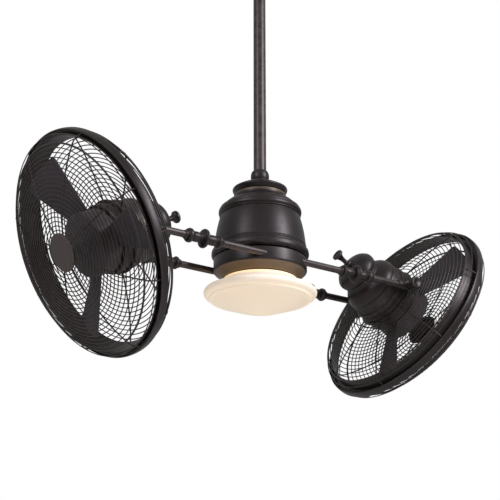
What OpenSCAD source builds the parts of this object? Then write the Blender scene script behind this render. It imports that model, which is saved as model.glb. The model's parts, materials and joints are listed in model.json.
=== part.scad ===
// Twin head ceiling fan.
// Two caged fan heads hang between a pair of arm rods. A collar carries the rods and turns
// slowly round a fixed centre stem, which also holds a glass dish light below the body.
// Frame: the origin is the centre of the ceiling face, +Z points up, the rods lie along X,
// and one head is the other turned half a turn about Z. Heights named *_h or returned by
// the body functions are counted from the arm plane, where the rods' centre lines lie.

/* [Ceiling mount] */
// Length of the bracket strap across the ceiling
bracket_l = 134; // [128:1:135]
// Width of the bracket strap
bracket_w = 40; // [34:1:42]
// Thickness of the bracket steel
bracket_t = 2.5; // [2:0.1:3]
// Distance between the two ceiling box screw holes
box_hole_spacing = 88.9; // [84:0.1:92]
// Diameter of the ceiling box screw holes
box_hole_d = 5.2; // [4.6:0.1:5.6]
// Diameter of the wire hole in the strap
wire_hole_d = 26; // [20:1:30]
// Diameter of the hanger ball
ball_d = 50; // [47:0.5:52]
// Depth of the ball's centre below the ceiling
ball_drop = 37; // [35:1:40]
// Outer diameter of the canopy at the ceiling
canopy_d = 140; // [138:1:150]
// Height of the canopy
canopy_h = 62; // [60:1:68]
// Diameter of the hole in the canopy's foot
canopy_hole_d = 46; // [42:1:46]
// Diameter of the ceiling box and canopy screws
screw_d = 4.8; // [4:0.1:4.8]

/* [Downrod] */
// Length of the downrod
downrod_len = 610; // [300:10:900]
// Outer diameter of the downrod
downrod_d = 27.5; // [26.5:0.1:28.5]
// Wall of the downrod
downrod_wall = 2.5; // [1.5:0.1:3.5]
// Length of the rod that the yoke grips
yoke_grip = 24; // [18:1:26]
// Outer diameter of the yoke
yoke_d = 34; // [33.5:0.1:35]
// Diameter of the cross pins
pin_d = 6; // [5:0.1:7]

/* [Body] */
// Thickness of the pressed sheet in the canopy and housings
sheet_t = 1.5; // [1.2:0.1:2]
// Height of the turning collar
collar_height = 28; // [26:1:32]
// Diameter of the turning collar
collar_d = 197.6; // [194:0.2:200]
// Gap between the turning collar and the fixed flange
collar_gap = 4; // [3:0.5:5]
// Height of the lower flange
flange_height = 18; // [16:1:22]
// Diameter over the lower flange's bead
flange_d = 207; // [203:0.5:212]
// Height of the flared barrel
barrel_height = 76; // [70:1:84]
// Diameter of the barrel at its foot
barrel_d = 196; // [192:0.5:200]
// Diameter of the barrel at its waist
waist_d = 169.6; // [164:0.2:174]
// Height of the upper dome
dome_height = 45; // [42:1:52]
// Diameter of the dome at its ridge
ridge_d = 178; // [174:0.5:184]
// Thickness of the mount plate, whose rim shows as a groove
plate_t = 5; // [4:0.5:6]
// Diameter of the mount plate
plate_d = 112; // [108:1:116]
// Height of the top cap
cap_height = 33; // [30:1:38]
// Diameter of the top cap
cap_d = 118; // [116:0.5:124]
// Height of the neck cover
neck_height = 23; // [20:1:26]
// Diameter of the neck cover
neck_d = 40; // [39.5:0.1:44]

/* [Stem, bearings and drive] */
// Outer diameter of the centre stem, which is the bearings' bore
stem_d = 25; // [24:0.1:26]
// Bore of the stem for the wires
stem_bore = 16; // [12:0.5:18]
// Outer diameter of the carrier bearings
carrier_bearing_d = 37; // [36:0.1:38]
// Width of each carrier bearing
carrier_bearing_w = 7; // [6:0.5:8]
// Gear module
gear_module = 1.5; // [1.4:0.05:1.6]
// Teeth on the ring gear
ring_teeth = 60; // [56:2:62]
// Teeth on the drive pinion
pinion_teeth = 12; // [12:2:14]
// Face width of the gears
gear_w = 8; // [6:0.5:9]
// Diameter of the gear motor's can
gear_motor_d = 34; // [30:1:38]

/* [Arms] */
// Diameter of the arm rods
arm_rod_d = 14.6; // [13.6:0.1:15.4]
// Distance between the two rods' centre lines
arm_spacing = 160; // [158:0.5:164]
// Distance of the tilt pivots from the centre
pivot_x = 343; // [335:1:355]
// Radius of the pivot eyes
eye_r = 11; // [10:0.1:11.5]
// Width of the pivot eyes
eye_w = 17; // [15:0.5:17.5]
// Distance of the middle of each rod fitting from the centre
fitting_x = 196; // [190:1:205]
// Diameter of the fittings' large disc
fitting_disc_d = 40; // [36:0.5:42]
// Length of a rod fitting
fitting_len = 92; // [84:1:96]

/* [Fan heads] */
// Tilt of the left head below the horizontal at rest
left_tilt = 26.9; // [20:0.1:35]
// Tilt of the right head below the horizontal at rest
right_tilt = 28.3; // [20:0.1:35]
// Diameter of the motor barrel
motor_d = 131; // [126:0.5:132]
// Diameter of the motor's neck
motor_neck_d = 90; // [84:1:94]
// Length of the motor barrel behind the flange
motor_len = 72; // [68:1:76]
// Diameter of the front flange that carries the cage
front_flange_d = 140; // [138:0.5:141]
// Length of the front flange
front_flange_len = 42; // [40:1:46]
// Diameter of the rear cap
rear_cap_d = 97; // [94:0.5:100]
// Length of the rear cap
rear_cap_len = 38; // [34:1:42]
// Length of the tilt handle
handle_len = 36; // [30:1:42]
// Diameter of the tilt handle's flared end
handle_d = 26; // [22:0.5:30]
// Diameter of the trunnions
trunnion_d = 8; // [7:0.1:9]
// Diameter of the tilt lock knob
knob_d = 29; // [24:0.5:30]
// Length of the tilt lock knob
knob_len = 25; // [20:1:28]
// Diameter of the motor shaft
shaft_d = 8; // [7:0.1:9]
// Outer diameter of the shaft bearings
shaft_bearing_d = 22; // [20:0.5:24]
// Width of a shaft bearing
shaft_bearing_w = 7; // [6:0.5:8]

/* [Blades] */
// Blades on each head
blade_count = 3; // [3:1:4]
// Radius at the blade tips
blade_r = 195; // [185:1:200]
// Chord of a blade at its tip
blade_tip_chord = 100; // [84:1:104]
// Chord of a blade at its root
blade_root_chord = 46; // [40:1:50]
// Pitch of the blades
blade_pitch = 18; // [10:0.5:20]
// Thickness of a blade
blade_t = 2; // [1.6:0.1:3]
// Lean of the blades towards the front grille
blade_rake = 8.7; // [8:0.1:10]
// Distance in front of the pivot of the point where the blades' centre lines would meet
blade_a = 41; // [40:0.5:43]
// Diameter of the blade hub
hub_d = 128; // [120:1:130]
// Height of the blade hub
hub_height = 38; // [34:1:40]
// Angle of the first blade on the left head, from the pivot line
left_blade_angle = -7; // [-60:1:60]
// Angle of the first blade on the right head, from the pivot line
right_blade_angle = 20; // [-60:1:60]

/* [Cages] */
// Outer diameter of the cage band
cage_d = 456; // [446:1:466]
// Width of the cage band
band_w = 16; // [15:0.5:20]
// Thickness of the cage band
band_t = 2.7; // [2:0.1:3.2]
// Radius of the shroud's front edge, which the cage band carries
shroud_front_r = 215; // [213:0.5:216]
// Radius of the shroud's rear edge
shroud_rear_r = 204; // [203:0.5:206]
// Thickness of the shroud and its flanges
shroud_t = 1.6; // [1.2:0.1:1.8]
// Distance of the cage's middle plane in front of the pivot
cage_a = 70.2; // [69:0.1:72]
// Distance of the front grille's thick outer wire inside the band's outer face
front_wire_inset = 24; // [22:0.5:26]
// Distance of the rear grille's thick outer wire inside the band's outer face
rear_wire_inset = 18; // [16:0.5:20]
// Distance of that wire from the middle plane
outer_wire_depth = 30; // [27:0.5:33]
// Depth of the front dome from the middle plane
front_depth = 61; // [57:0.5:65]
// Distance from the middle plane to the rear grille's inner ring
rear_depth = 56; // [52:0.5:56.5]
// Diameter of the grille wires
wire_d = 2.2; // [1.8:0.1:2.6]
// Spacing of the grille wires
wire_pitch = 13; // [11:0.5:18]
// Number of ribs in each grille
rib_count = 8; // [6:1:10]
// Thickness of a rib
rib_t = 3; // [2.6:0.1:3.6]
// Diameter of the plain disc at the middle of the front grille
disc_d = 76.6; // [70:0.5:84]
// Thickness of the plain disc
disc_t = 3.2; // [2.6:0.1:4]

/* [Light] */
// Diameter over the glass dish's rim
dish_d = 239; // [228:1:246]
// Height of the middle of the rim below the arm plane
dish_rim_drop = 58; // [56:0.5:60]
// Depth of the dish's lowest point below the arm plane
dish_depth = 102; // [98:0.5:106]
// Diameter of the glass neck
dish_neck_d = 156; // [153:1:160]
// Depth of the glass neck's lip below the arm plane
dish_lip_drop = 30; // [29.5:0.1:31]
// Thickness of the glass
glass_t = 3; // [2.6:0.1:3.4]
// Diameter of the lamp bulb
lamp_d = 38; // [32:1:42]

/* [Hidden] */
$fn = 96;

// Finishes
BRONZE = "#3a2c27";
BRONZE_LIT = "#5a4038";
STEEL = "#9a9a9c";
BRASS = "#b08d4a";
COPPER = "#a65a30";
BLADE = "#41323a";
GLASS = "#efe2cd";
PLASTIC = "#2b2b2d";
CERAMIC = "#e9e6df";

// Clearances
seat_gap = 0.05;
run_gap = 0.08;
ball_gap = 0.2;
part_gap = 0.5;
knob_gap = 1.5;
tooth_gap = 0.15;
rod_fit = 0.1;

// Ceiling mount
canopy_r = canopy_d / 2;
tab_h = 20;
tab_screw_drop = 13;
ball_pin_rise = 4;
leg_x = ball_d / 2 + 8;
seat_h = 9;
seat_z = -ball_drop - ball_d / 2 + 4;
bracket_r = canopy_r - sheet_t - part_gap;
screw_head_h = 2.5;

// Downrod and body heights above the arm plane
rod_rise = 17;
collar_top = collar_height / 2;
flange_foot = collar_top + collar_gap;
barrel_foot = flange_foot + flange_height;
dome_foot = barrel_foot + barrel_height;
plate_foot = dome_foot + dome_height;
plate_top = plate_foot + plate_t;
neck_foot = plate_top + cap_height;
neck_top = neck_foot + neck_height;
neck_lid_t = 1.5;
yoke_top = neck_top - neck_lid_t - part_gap;
rod_end = yoke_top - yoke_grip;
arm_z = -(ball_drop - rod_rise + downrod_len + rod_end);
pin_len = yoke_d - 1;
stem_r = stem_d / 2;

// Carrier and drive
carrier_h = collar_height - 4;
carrier_r = collar_d / 2 - sheet_t - part_gap;
carrier_hub_r = carrier_bearing_d / 2 + 4.5;
carrier_rim_r = arm_spacing / 2 - arm_rod_d / 2 - 6;
gear_z = flange_foot;
hub_top = gear_z + gear_w + 30;
ring_pitch_r = gear_module * ring_teeth / 2;
pinion_pitch_r = gear_module * pinion_teeth / 2;
drive_x = ring_pitch_r + pinion_pitch_r;
pressure_angle = 20;
ring_addendum = 0.75;
pinion_addendum = 1;
dedendum = 1.25;
pinion_shaft_r = 3;
motor_foot = gear_z + gear_w + 8;
motor_can_h = 52;
slip_r = carrier_hub_r + 7;
slip_z = gear_z + gear_w;
slip_h = 18;
slip_groove_h = 1.2;
brush_l = 14;
brush_w = 16;
brush_post = 6;
brush_x = -slip_r - 0.3 - brush_l;
brush_foot = slip_z + 2;

// Light
pan_r = dish_neck_d / 2 - 4;
pan_z = -collar_top - 8;
stem_foot = pan_z;
socket_r = 15;
socket_h = 20;
socket_foot = pan_z - 2 - socket_h;
lamp_neck_r = 11;
lamp_neck_h = 8;
lamp_neck_z = socket_foot - lamp_neck_h;
nut_h = 5;
dish_screw_r = dish_neck_d / 2 - 14;
bowl_r = dish_d / 2 - 19.5;
bowl_drop = 15.8;
bowl_cone = 0.36;

// Heads
motor_r = motor_d / 2;
motor_wall = 3;
motor_front = -4;
motor_rear = motor_front - motor_len;
core_len = motor_len * 0.36;
barrel_shoulder = 36;
core_a = motor_rear + barrel_shoulder;
coil_r = motor_r * 0.72;
coil_len = motor_len * 0.61;
coil_a = motor_front - motor_len * 0.64;
air_gap = 0.6;
rotor_r = motor_r * 0.464;
rotor_over = 2;
flange_r = front_flange_d / 2;
flange_front = motor_front + front_flange_len;
bearing_r = shaft_bearing_d / 2;
boss_r = bearing_r + 3;
eye_inner = arm_spacing / 2 - eye_w / 2;
eye_outer = arm_spacing / 2 + eye_w / 2;
boss_out = eye_inner - part_gap;
trunnion_boss_r = 10;
eye_socket = 27;
eye_bore_end = 12;
hub_foot = flange_front + 4;
hub_top_a = hub_foot + hub_height;
cage_r = cage_d / 2;
front_wire_r = cage_r - front_wire_inset;
rear_wire_r = cage_r - rear_wire_inset;
rim_tube_r = 2.6;
rim_r = cage_r - band_t - rim_tube_r - seat_gap;
rim_depth = rim_tube_r + 1;
band_bevel = 1.5;
web_t = 1.4;
shroud_front = 12;
shroud_back = 24;
shroud_flange = 3.5;
rib_w = 2.6;
disc_back_a = cage_a + front_depth + rib_t / 2;

// Point at fraction t of the curve from a to c, which leaves a towards b
function bend(a, b, c, t) = (1 - t) * (1 - t) * a + 2 * t * (1 - t) * b + t * t * c;

// Points of that curve, n steps
function curve(a, b, c, n = 8) = [for (i = [0:n]) bend(a, b, c, i / n)];

// Arc about centre c of radius r from angle a0 to a1
function arc(c, r, a0, a1, n = 6) =
    [for (i = [0:n]) let(a = a0 + (a1 - a0) * i / n) c + r * [cos(a), sin(a)]];

// Direction to the left of a line of points at point i
function left_of(pts, i) =
    let(d = pts[min(i + 1, len(pts) - 1)] - pts[max(i - 1, 0)]) [-d[1], d[0]] / norm(d);

// Closed outline of a sheet of thickness t on the left of a line of points, with level ends
function sheet_outline(pts, t) = concat(pts, [
    for (i = [len(pts) - 1:-1:0])
        pts[i] + t * (i == 0 || i == len(pts) - 1 ? [-1, 0] : left_of(pts, i))
]);

// Closed outline of a strip of thickness t centred on a line of points
function strip_outline(pts, t) = concat(
    [for (i = [0:len(pts) - 1]) pts[i] - t / 2 * left_of(pts, i)],
    [for (i = [len(pts) - 1:-1:0]) pts[i] + t / 2 * left_of(pts, i)]);

module spun(points) rotate_extrude() polygon(points);
module at_arms() translate([0, 0, arm_z]) children();
module hole(d, h) translate([0, 0, -h / 2]) cylinder(d = d, h = h);

// Ring of round wire about Z
module wire_ring(r, tube_r, z) translate([0, 0, z]) rotate_extrude()
    translate([r, 0]) circle(r = tube_r, $fn = 24);

// Frame of a head: X runs forward along the motor, Y is the pivot line, Z is up
module at_head(side) at_arms() rotate([0, 0, side > 0 ? 0 : 180])
    translate([pivot_x, 0, 0]) rotate([0, side > 0 ? right_tilt : left_tilt, 0]) children();

// Frame of a head with Z forward along the motor
module on_motor(side) at_head(side) rotate([0, 90, 0]) children();

// ---- Ceiling mount ----

module ball_seat() difference() {
    translate([-leg_x, -bracket_w / 2, seat_z]) cube([2 * leg_x, bracket_w, seat_h]);
    translate([0, 0, -ball_drop]) sphere(d = ball_d + 2 * ball_gap);
    rod_slot = downrod_d + 3;
    translate([-rod_slot / 2, -bracket_w, seat_z - 1]) cube([rod_slot, bracket_w, seat_h + 2]);
    translate([0, 0, seat_z - 1]) cylinder(d = ball_d - 8, h = seat_h + 2);
}

module bracket_leg(side) translate([side * (leg_x - bracket_t / 2), 0, 0])
    translate([-bracket_t / 2, -bracket_w / 2, seat_z]) cube([bracket_t, bracket_w, -seat_z]);

module bracket_tab(side) difference() {
    translate([side * (bracket_l / 2 - bracket_t / 2) - bracket_t / 2, -bracket_w / 4, -tab_h])
        cube([bracket_t, bracket_w / 2, tab_h]);
    translate([side * bracket_l / 2, 0, -tab_screw_drop]) rotate([0, 90, 0]) hole(screw_d, 20);
}

module ceiling_bracket() color(STEEL) {
    difference() {
        intersection() {
            translate([-bracket_l / 2, -bracket_w / 2, -bracket_t])
                cube([bracket_l, bracket_w, bracket_t]);
            translate([0, 0, -bracket_t]) cylinder(r = bracket_r, h = bracket_t);
        }
        for (side = [-1, 1]) translate([side * box_hole_spacing / 2, 0, -bracket_t / 2])
            hole(box_hole_d, 20);
        translate([0, 0, -bracket_t / 2]) hole(wire_hole_d, 20);
    }
    for (side = [-1, 1]) bracket_leg(side);
    for (side = [-1, 1]) bracket_tab(side);
    ball_seat();
}

// Round head screw whose head sits at z = 0 and whose shank points up
module screw(d, len) {
    cylinder(d = d, h = len);
    translate([0, 0, -screw_head_h]) cylinder(d = 1.9 * d, h = screw_head_h);
}

module ceiling_screws() color(STEEL)
    for (side = [-1, 1]) translate([side * canopy_r, 0, -tab_screw_drop])
        rotate([0, side * -90, 0]) screw(screw_d, 7);

function canopy_line() = concat(
    [[canopy_hole_d / 2 + sheet_t, -canopy_h]],
    curve([canopy_hole_d / 2 + 5, -canopy_h], [canopy_r - 4, -canopy_h + 4],
        [canopy_r, -canopy_h * 0.42]),
    [[canopy_r, -part_gap]]);

module canopy() color(BRONZE) difference() {
    spun(sheet_outline(canopy_line(), sheet_t));
    for (side = [-1, 1]) translate([side * canopy_r, 0, -tab_screw_drop]) rotate([0, 90, 0])
        hole(screw_d + 2 * rod_fit, 20);
}

// ---- Hanging parts ----

// Places of the two cross pins
module ball_pin() translate([0, 0, -ball_drop + ball_pin_rise]) rotate([0, 90, 0]) children();
module yoke_pin() translate([0, 0, rod_end + yoke_grip / 2]) rotate([0, 90, 0]) children();

module hanger_ball() color(PLASTIC) difference() {
    intersection() {
        translate([0, 0, -ball_drop]) sphere(d = ball_d);
        translate([0, 0, -ball_drop - ball_d / 2 + 3])
            cylinder(d = ball_d + 2, h = rod_rise + ball_d / 2 - 4);
    }
    translate([0, 0, -ball_drop]) hole(downrod_d + 2 * seat_gap, 2 * ball_d);
    ball_pin() hole(pin_d + 2 * seat_gap, 2 * ball_d);
}

module downrod() color(BRONZE) difference() {
    translate([0, 0, -ball_drop + rod_rise - downrod_len]) cylinder(d = downrod_d, h = downrod_len);
    translate([0, 0, -ball_drop + rod_rise - downrod_len - 1])
        cylinder(d = downrod_d - 2 * downrod_wall, h = downrod_len + 2);
    ball_pin() hole(pin_d + 2 * seat_gap, 2 * ball_d);
    at_arms() yoke_pin() hole(pin_d + 2 * seat_gap, 2 * ball_d);
}

module rod_pins() color(STEEL) {
    ball_pin() hole(pin_d, pin_len);
    at_arms() yoke_pin() hole(pin_d, pin_len);
}

module yoke() color(STEEL) at_arms() difference() {
    translate([0, 0, plate_top]) cylinder(d = yoke_d, h = yoke_top - plate_top);
    translate([0, 0, rod_end]) cylinder(d = downrod_d + 2 * seat_gap, h = yoke_grip + 1);
    translate([0, 0, plate_top - 1]) cylinder(d = stem_bore, h = yoke_top);
    yoke_pin() hole(pin_d + 2 * seat_gap, 2 * yoke_d);
}

function neck_line() = let(r = neck_d / 2, round_r = 4) concat(
    [[r, neck_foot]], arc([r - round_r, neck_top - round_r], round_r, 0, 90),
    [[downrod_d / 2 + 0.4 + sheet_t, neck_top]]);

module neck_cover() color(BRONZE) at_arms() difference() {
    spun(concat([[0, neck_foot]], neck_line(), [[0, neck_top]]));
    translate([0, 0, neck_foot - 1]) cylinder(d = yoke_d + 1, h = neck_height + 1 - neck_lid_t);
    translate([0, 0, neck_foot]) cylinder(d = downrod_d + 0.8, h = 2 * neck_height);
}

function cap_line() = let(r = cap_d / 2) concat(
    curve([r - 5, plate_top], [r + 1.6, plate_top + 4], [r, plate_top + 11], 5),
    curve([r - 0.3, plate_top + 12], [r - 7, neck_foot - 12], [neck_d / 2 - 0.5, neck_foot], 8));

module top_cap() color(BRONZE) at_arms() spun(sheet_outline(cap_line(), sheet_t));

module mount_plate() color(BRONZE_LIT) at_arms() difference() {
    translate([0, 0, plate_foot]) cylinder(d = plate_d, h = plate_t);
    translate([0, 0, plate_foot - 1]) cylinder(d = stem_bore, h = plate_t + 2);
}

function dome_line() = let(r = ridge_d / 2) concat(
    curve([waist_d / 2, dome_foot], [r + 0.4, dome_foot + 1.5], [r, dome_foot + 9], 4),
    curve([r - 0.1, dome_foot + 10], [r - 1.5, dome_foot + 22], [plate_d / 2 + 1, plate_foot], 8));

module upper_dome() color(BRONZE) at_arms() {
    spun(sheet_outline(dome_line(), sheet_t));
    translate([0, 0, plate_foot - sheet_t]) difference() {
        cylinder(d = plate_d, h = sheet_t);
        translate([0, 0, -1]) cylinder(d = plate_d - 20, h = sheet_t + 2);
    }
}

function barrel_line() = curve([barrel_d / 2, barrel_foot],
    [barrel_d / 2 - 2.5, barrel_foot + barrel_height * 0.58], [waist_d / 2, dome_foot], 10);

module housing_barrel() color(BRONZE) at_arms() spun(sheet_outline(barrel_line(), sheet_t));

module lower_flange() color(BRONZE) at_arms() spun(concat(
    curve([flange_d / 2 - 6, flange_foot], [flange_d / 2 + 5.5, flange_foot + flange_height / 2],
        [barrel_d / 2 + 0.3, barrel_foot]),
    [[barrel_d / 2 - 6, barrel_foot], [barrel_d / 2 - 6, flange_foot]]));

module centre_stem() color(STEEL) at_arms() difference() {
    union() {
        translate([0, 0, stem_foot]) cylinder(r = stem_r, h = plate_foot - stem_foot);
        translate([0, 0, plate_foot - 4]) cylinder(r = stem_r + 8, h = 4);
        translate([0, 0, hub_top]) cylinder(r = stem_r + 2, h = 4);
    }
    translate([0, 0, stem_foot - 1]) cylinder(d = stem_bore, h = plate_foot - stem_foot + 2);
}

module stem_nut() color(STEEL) at_arms() translate([0, 0, -carrier_h / 2 - nut_h]) difference() {
    cylinder(r = stem_r + 3.5, h = nut_h);
    translate([0, 0, -1]) cylinder(r = stem_r + seat_gap, h = nut_h + 2);
}

module gear_motor() color(STEEL) at_arms() difference() {
    union() {
        translate([drive_x, 0, motor_foot]) cylinder(d = gear_motor_d, h = motor_can_h);
        translate([drive_x - gear_motor_d / 2 - 3, -10, motor_foot + 12])
            cube([10, 20, plate_foot - motor_foot - 12]);
    }
    translate([drive_x, 0, motor_foot - 1]) cylinder(r = pinion_shaft_r + run_gap, h = 16);
}

module brush_block() color(PLASTIC) at_arms() {
    translate([brush_x, -brush_w / 2, brush_foot]) cube([brush_l, brush_w, slip_h - 4]);
    translate([brush_x, -brush_w / 2, brush_foot]) cube([brush_post, brush_w, plate_foot - brush_foot]);
}

// ---- Gears ----

function inv_angle(a) = tan(a) * 180 / PI - a;

// Half the angle that a tooth takes at radius r
function tooth_half(teeth, r) =
    let(pitch_r = gear_module * teeth / 2, base_r = pitch_r * cos(pressure_angle))
    90 / teeth - tooth_gap / 2 / pitch_r * 180 / PI + inv_angle(pressure_angle)
        - inv_angle(acos(min(1, base_r / r)));

function gear_outline(teeth, addendum) =
    let(pitch_r = gear_module * teeth / 2, base_r = pitch_r * cos(pressure_angle),
        root_r = pitch_r - dedendum * gear_module, tip_r = pitch_r + addendum * gear_module,
        flank_r = max(base_r, root_r + 0.1), radii = [root_r, flank_r, (flank_r + tip_r) / 2, tip_r])
    [for (i = [0:teeth - 1]) each concat(
        [for (r = radii) let(a = 360 * i / teeth - tooth_half(teeth, r)) r * [cos(a), sin(a)]],
        [for (k = [3:-1:0]) let(r = radii[k], a = 360 * i / teeth + tooth_half(teeth, r))
            r * [cos(a), sin(a)]])];

module ring_gear() color(BRASS) at_arms() translate([0, 0, gear_z]) difference() {
    linear_extrude(gear_w) polygon(gear_outline(ring_teeth, ring_addendum));
    translate([0, 0, -1]) cylinder(r = carrier_hub_r + seat_gap, h = gear_w + 2);
}

module drive_pinion() color(BRASS) at_arms() translate([drive_x, 0, gear_z])
    rotate([0, 0, 180 / pinion_teeth]) {
        linear_extrude(gear_w) polygon(gear_outline(pinion_teeth, pinion_addendum));
        cylinder(r = pinion_shaft_r, h = motor_foot - gear_z + 14);
    }

// ---- Turning parts ----

module both_rods() for (side = [-1, 1]) translate([0, side * arm_spacing / 2, 0])
    rotate([0, 90, 0]) children();

module carrier() color(STEEL) at_arms() difference() {
    spun([
        [stem_r + 3, -carrier_h / 2], [carrier_r - 4, -carrier_h / 2],
        [carrier_r, -carrier_h / 2 + 4], [carrier_r, carrier_h / 2],
        [carrier_rim_r, carrier_h / 2], [carrier_rim_r, -carrier_h / 2 + 6],
        [carrier_hub_r + 4, -carrier_h / 2 + 6], [carrier_hub_r + 4, gear_z],
        [carrier_hub_r, gear_z], [carrier_hub_r, hub_top], [stem_r + 3, hub_top]
    ]);
    for (z = [-carrier_h / 2 - 1, hub_top - carrier_bearing_w]) translate([0, 0, z])
        cylinder(d = carrier_bearing_d + 2 * seat_gap, h = carrier_bearing_w + 1);
    both_rods() hole(arm_rod_d + 2 * seat_gap, collar_d);
}

module carrier_bearings() color(STEEL) at_arms()
    for (z = [-carrier_h / 2, hub_top - carrier_bearing_w]) translate([0, 0, z]) difference() {
        cylinder(d = carrier_bearing_d, h = carrier_bearing_w);
        translate([0, 0, -1]) cylinder(r = stem_r + run_gap, h = carrier_bearing_w + 2);
    }

module slip_ring() color(COPPER) at_arms() translate([0, 0, slip_z]) difference() {
    cylinder(r = slip_r, h = slip_h);
    translate([0, 0, -1]) cylinder(r = carrier_hub_r + seat_gap, h = slip_h + 2);
    for (i = [1:2]) translate([0, 0, slip_h * i / 3]) difference() {
        cylinder(r = slip_r + 1, h = slip_groove_h, center = true);
        cylinder(r = slip_r - 1.5, h = 2, center = true);
    }
}

function collar_line() = let(r = collar_d / 2, round_r = 4) concat(
    arc([r - round_r, -collar_top + round_r], round_r, -90, 0),
    [[r, collar_top - 1], [r - 1, collar_top]]);

module collar_shell() color(BRONZE) at_arms() difference() {
    spun(concat(collar_line(), [
        [carrier_r - 12, collar_top], [carrier_r - 12, carrier_h / 2],
        [collar_d / 2 - sheet_t, carrier_h / 2], [collar_d / 2 - sheet_t, -collar_top + 4],
        [collar_d / 2 - 4, -collar_top + sheet_t]
    ]));
    both_rods() hole(arm_rod_d + 2 * rod_fit, 2 * collar_d);
}

module collar_plate() color(BRONZE_LIT) at_arms() translate([0, 0, -collar_top]) difference() {
    cylinder(r = collar_d / 2 - 4 - seat_gap, h = collar_top - carrier_h / 2);
    translate([0, 0, -1]) cylinder(r = stem_r + 8, h = collar_top);
}

module arm_rods() color(BRONZE) at_arms() both_rods() hole(arm_rod_d, 2 * (pivot_x - 12));

// Outline of a turned fitting, half of it on each side of the large disc
function fitting_line() = let(r = arm_rod_d / 2, l = fitting_len / 2, big = fitting_disc_d / 2)
    concat(
        [[r + 1.2, -l], [r + 2.2, -l + 3], [r + 2.2, -l + 6]],
        curve([r + 6.2, -l + 7], [r + 6.8, -l + 11], [r + 5.2, -l + 16], 4),
        [[r + 2.4, -l + 18]],
        curve([r + 3.4, -l + 22], [r + 3.4, -l + 30], [r + 2.6, -7], 4),
        [[big - 6, -6]],
        curve([big - 1, -4.5], [big + 1, -1], [big - 1, 3], 4),
        [[r + 6, 5]],
        curve([r + 2.6, 8], [r + 4, l - 24], [r + 3, l - 19], 4),
        curve([r + 5.6, l - 17], [r + 8.4, l - 11], [r + 6.2, l - 6], 4),
        [[r + 2.4, l - 4], [r + 1.4, l]]);

module rod_fittings() color(BRONZE) at_arms() for (turn = [0, 180]) rotate([0, 0, turn])
    both_rods() translate([0, 0, fitting_x]) difference() {
        spun(concat([[0, -fitting_len / 2]], fitting_line(), [[0, fitting_len / 2]]));
        hole(arm_rod_d + 2 * seat_gap, 2 * fitting_len);
    }

module rod_eye() difference() {
    union() {
        rotate([90, 0, 0]) cylinder(r = eye_r, h = eye_w, center = true);
        translate([-eye_socket, 0, 0]) rotate([0, 90, 0])
            cylinder(d = arm_rod_d + 5, h = eye_socket - trunnion_boss_r - part_gap);
        translate([-eye_bore_end, 0, 0]) rotate([0, 90, 0])
            cylinder(r = eye_w / 2 - part_gap, h = eye_bore_end);
    }
    rotate([90, 0, 0]) hole(trunnion_d + 2 * run_gap, 2 * eye_w);
    translate([-eye_socket - 1, 0, 0]) rotate([0, 90, 0])
        cylinder(d = arm_rod_d + 2 * seat_gap, h = eye_socket + 1 - eye_bore_end);
    translate([-20, -20, arm_rod_d / 2 - 1]) cube([1.6, 40, 10]);
}

module rod_eyes() color(BRONZE) at_arms() for (turn = [0, 180]) rotate([0, 0, turn])
    for (side = [-1, 1]) translate([pivot_x, side * arm_spacing / 2, 0]) rod_eye();

// ---- Light ----

module light_pan() color(BRONZE) at_arms() difference() {
    spun([
        [stem_bore / 2, pan_z - 2], [pan_r - 4, pan_z - 2], [pan_r - 4, -dish_lip_drop],
        [pan_r, -dish_lip_drop], [pan_r, pan_z], [stem_bore / 2, pan_z]
    ]);
    for (i = [0:2]) rotate([0, 0, 120 * i + 60]) translate([dish_screw_r, 0, pan_z])
        hole(screw_d + 2 * rod_fit, 20);
}

module lampholder() color(CERAMIC) at_arms() {
    translate([0, 0, socket_foot]) cylinder(r = socket_r, h = socket_h);
    translate([0, 0, pan_z - 3]) cylinder(d = stem_bore - 2 * seat_gap, h = 16);
}

module lamp() color(GLASS) at_arms() {
    translate([0, 0, lamp_neck_z]) cylinder(r = lamp_neck_r, h = lamp_neck_h);
    translate([0, 0, lamp_neck_z - lamp_d * 0.42]) sphere(d = lamp_d);
}

// Half outline of the dish's outer face, from its lowest point out to the neck's lip
function dish_line() = let(rim_r = dish_d / 2, bead_r = rim_r - 12, z = -dish_rim_drop) concat(
    curve([0, -dish_depth], [bowl_r * bowl_cone, -dish_depth], [bowl_r, z - bowl_drop], 12),
    arc([bead_r - 1.5, z - 13], 2, -135, 30, 5),
    arc([rim_r - 8, z], 8, -50, 30, 6),
    curve([rim_r - 3, z + 4.8], [dish_neck_d / 2 + 12, z + 10], [dish_neck_d / 2, -dish_lip_drop], 6));

module glass_dish() color(GLASS) at_arms() {
    spun(concat(dish_line(), [
        [pan_r - 5.5, -dish_lip_drop], [pan_r - 5.5, -dish_lip_drop - glass_t],
        [dish_neck_d / 2 - glass_t, -dish_lip_drop - glass_t]
    ], curve([dish_neck_d / 2 - glass_t + 1, -dish_lip_drop - glass_t - 3],
        [dish_neck_d / 2 + 10, 6 - dish_rim_drop], [dish_d / 2 - 9, -dish_rim_drop + 2], 6),
    curve([dish_d / 2 - 6, -dish_rim_drop - 3.5], [dish_d / 2 - 9, -dish_rim_drop - 7],
        [dish_d / 2 - 15, -dish_rim_drop - 10.8], 4),
    curve([bowl_r - 3, glass_t - 0.5 - dish_rim_drop - bowl_drop],
        [bowl_r * bowl_cone - 1.5, glass_t - dish_depth], [0, glass_t - dish_depth], 12)));
}

module dish_screws() color(STEEL) at_arms() for (i = [0:2]) rotate([0, 0, 120 * i + 60])
    translate([dish_screw_r, 0, -dish_lip_drop - glass_t - 1.2]) {
        cylinder(d = 13, h = 1.2);
        cylinder(d = screw_d, h = pan_z + dish_lip_drop + glass_t + 3);
    }

// ---- Fan heads, drawn with Z forward along the motor ----

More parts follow.
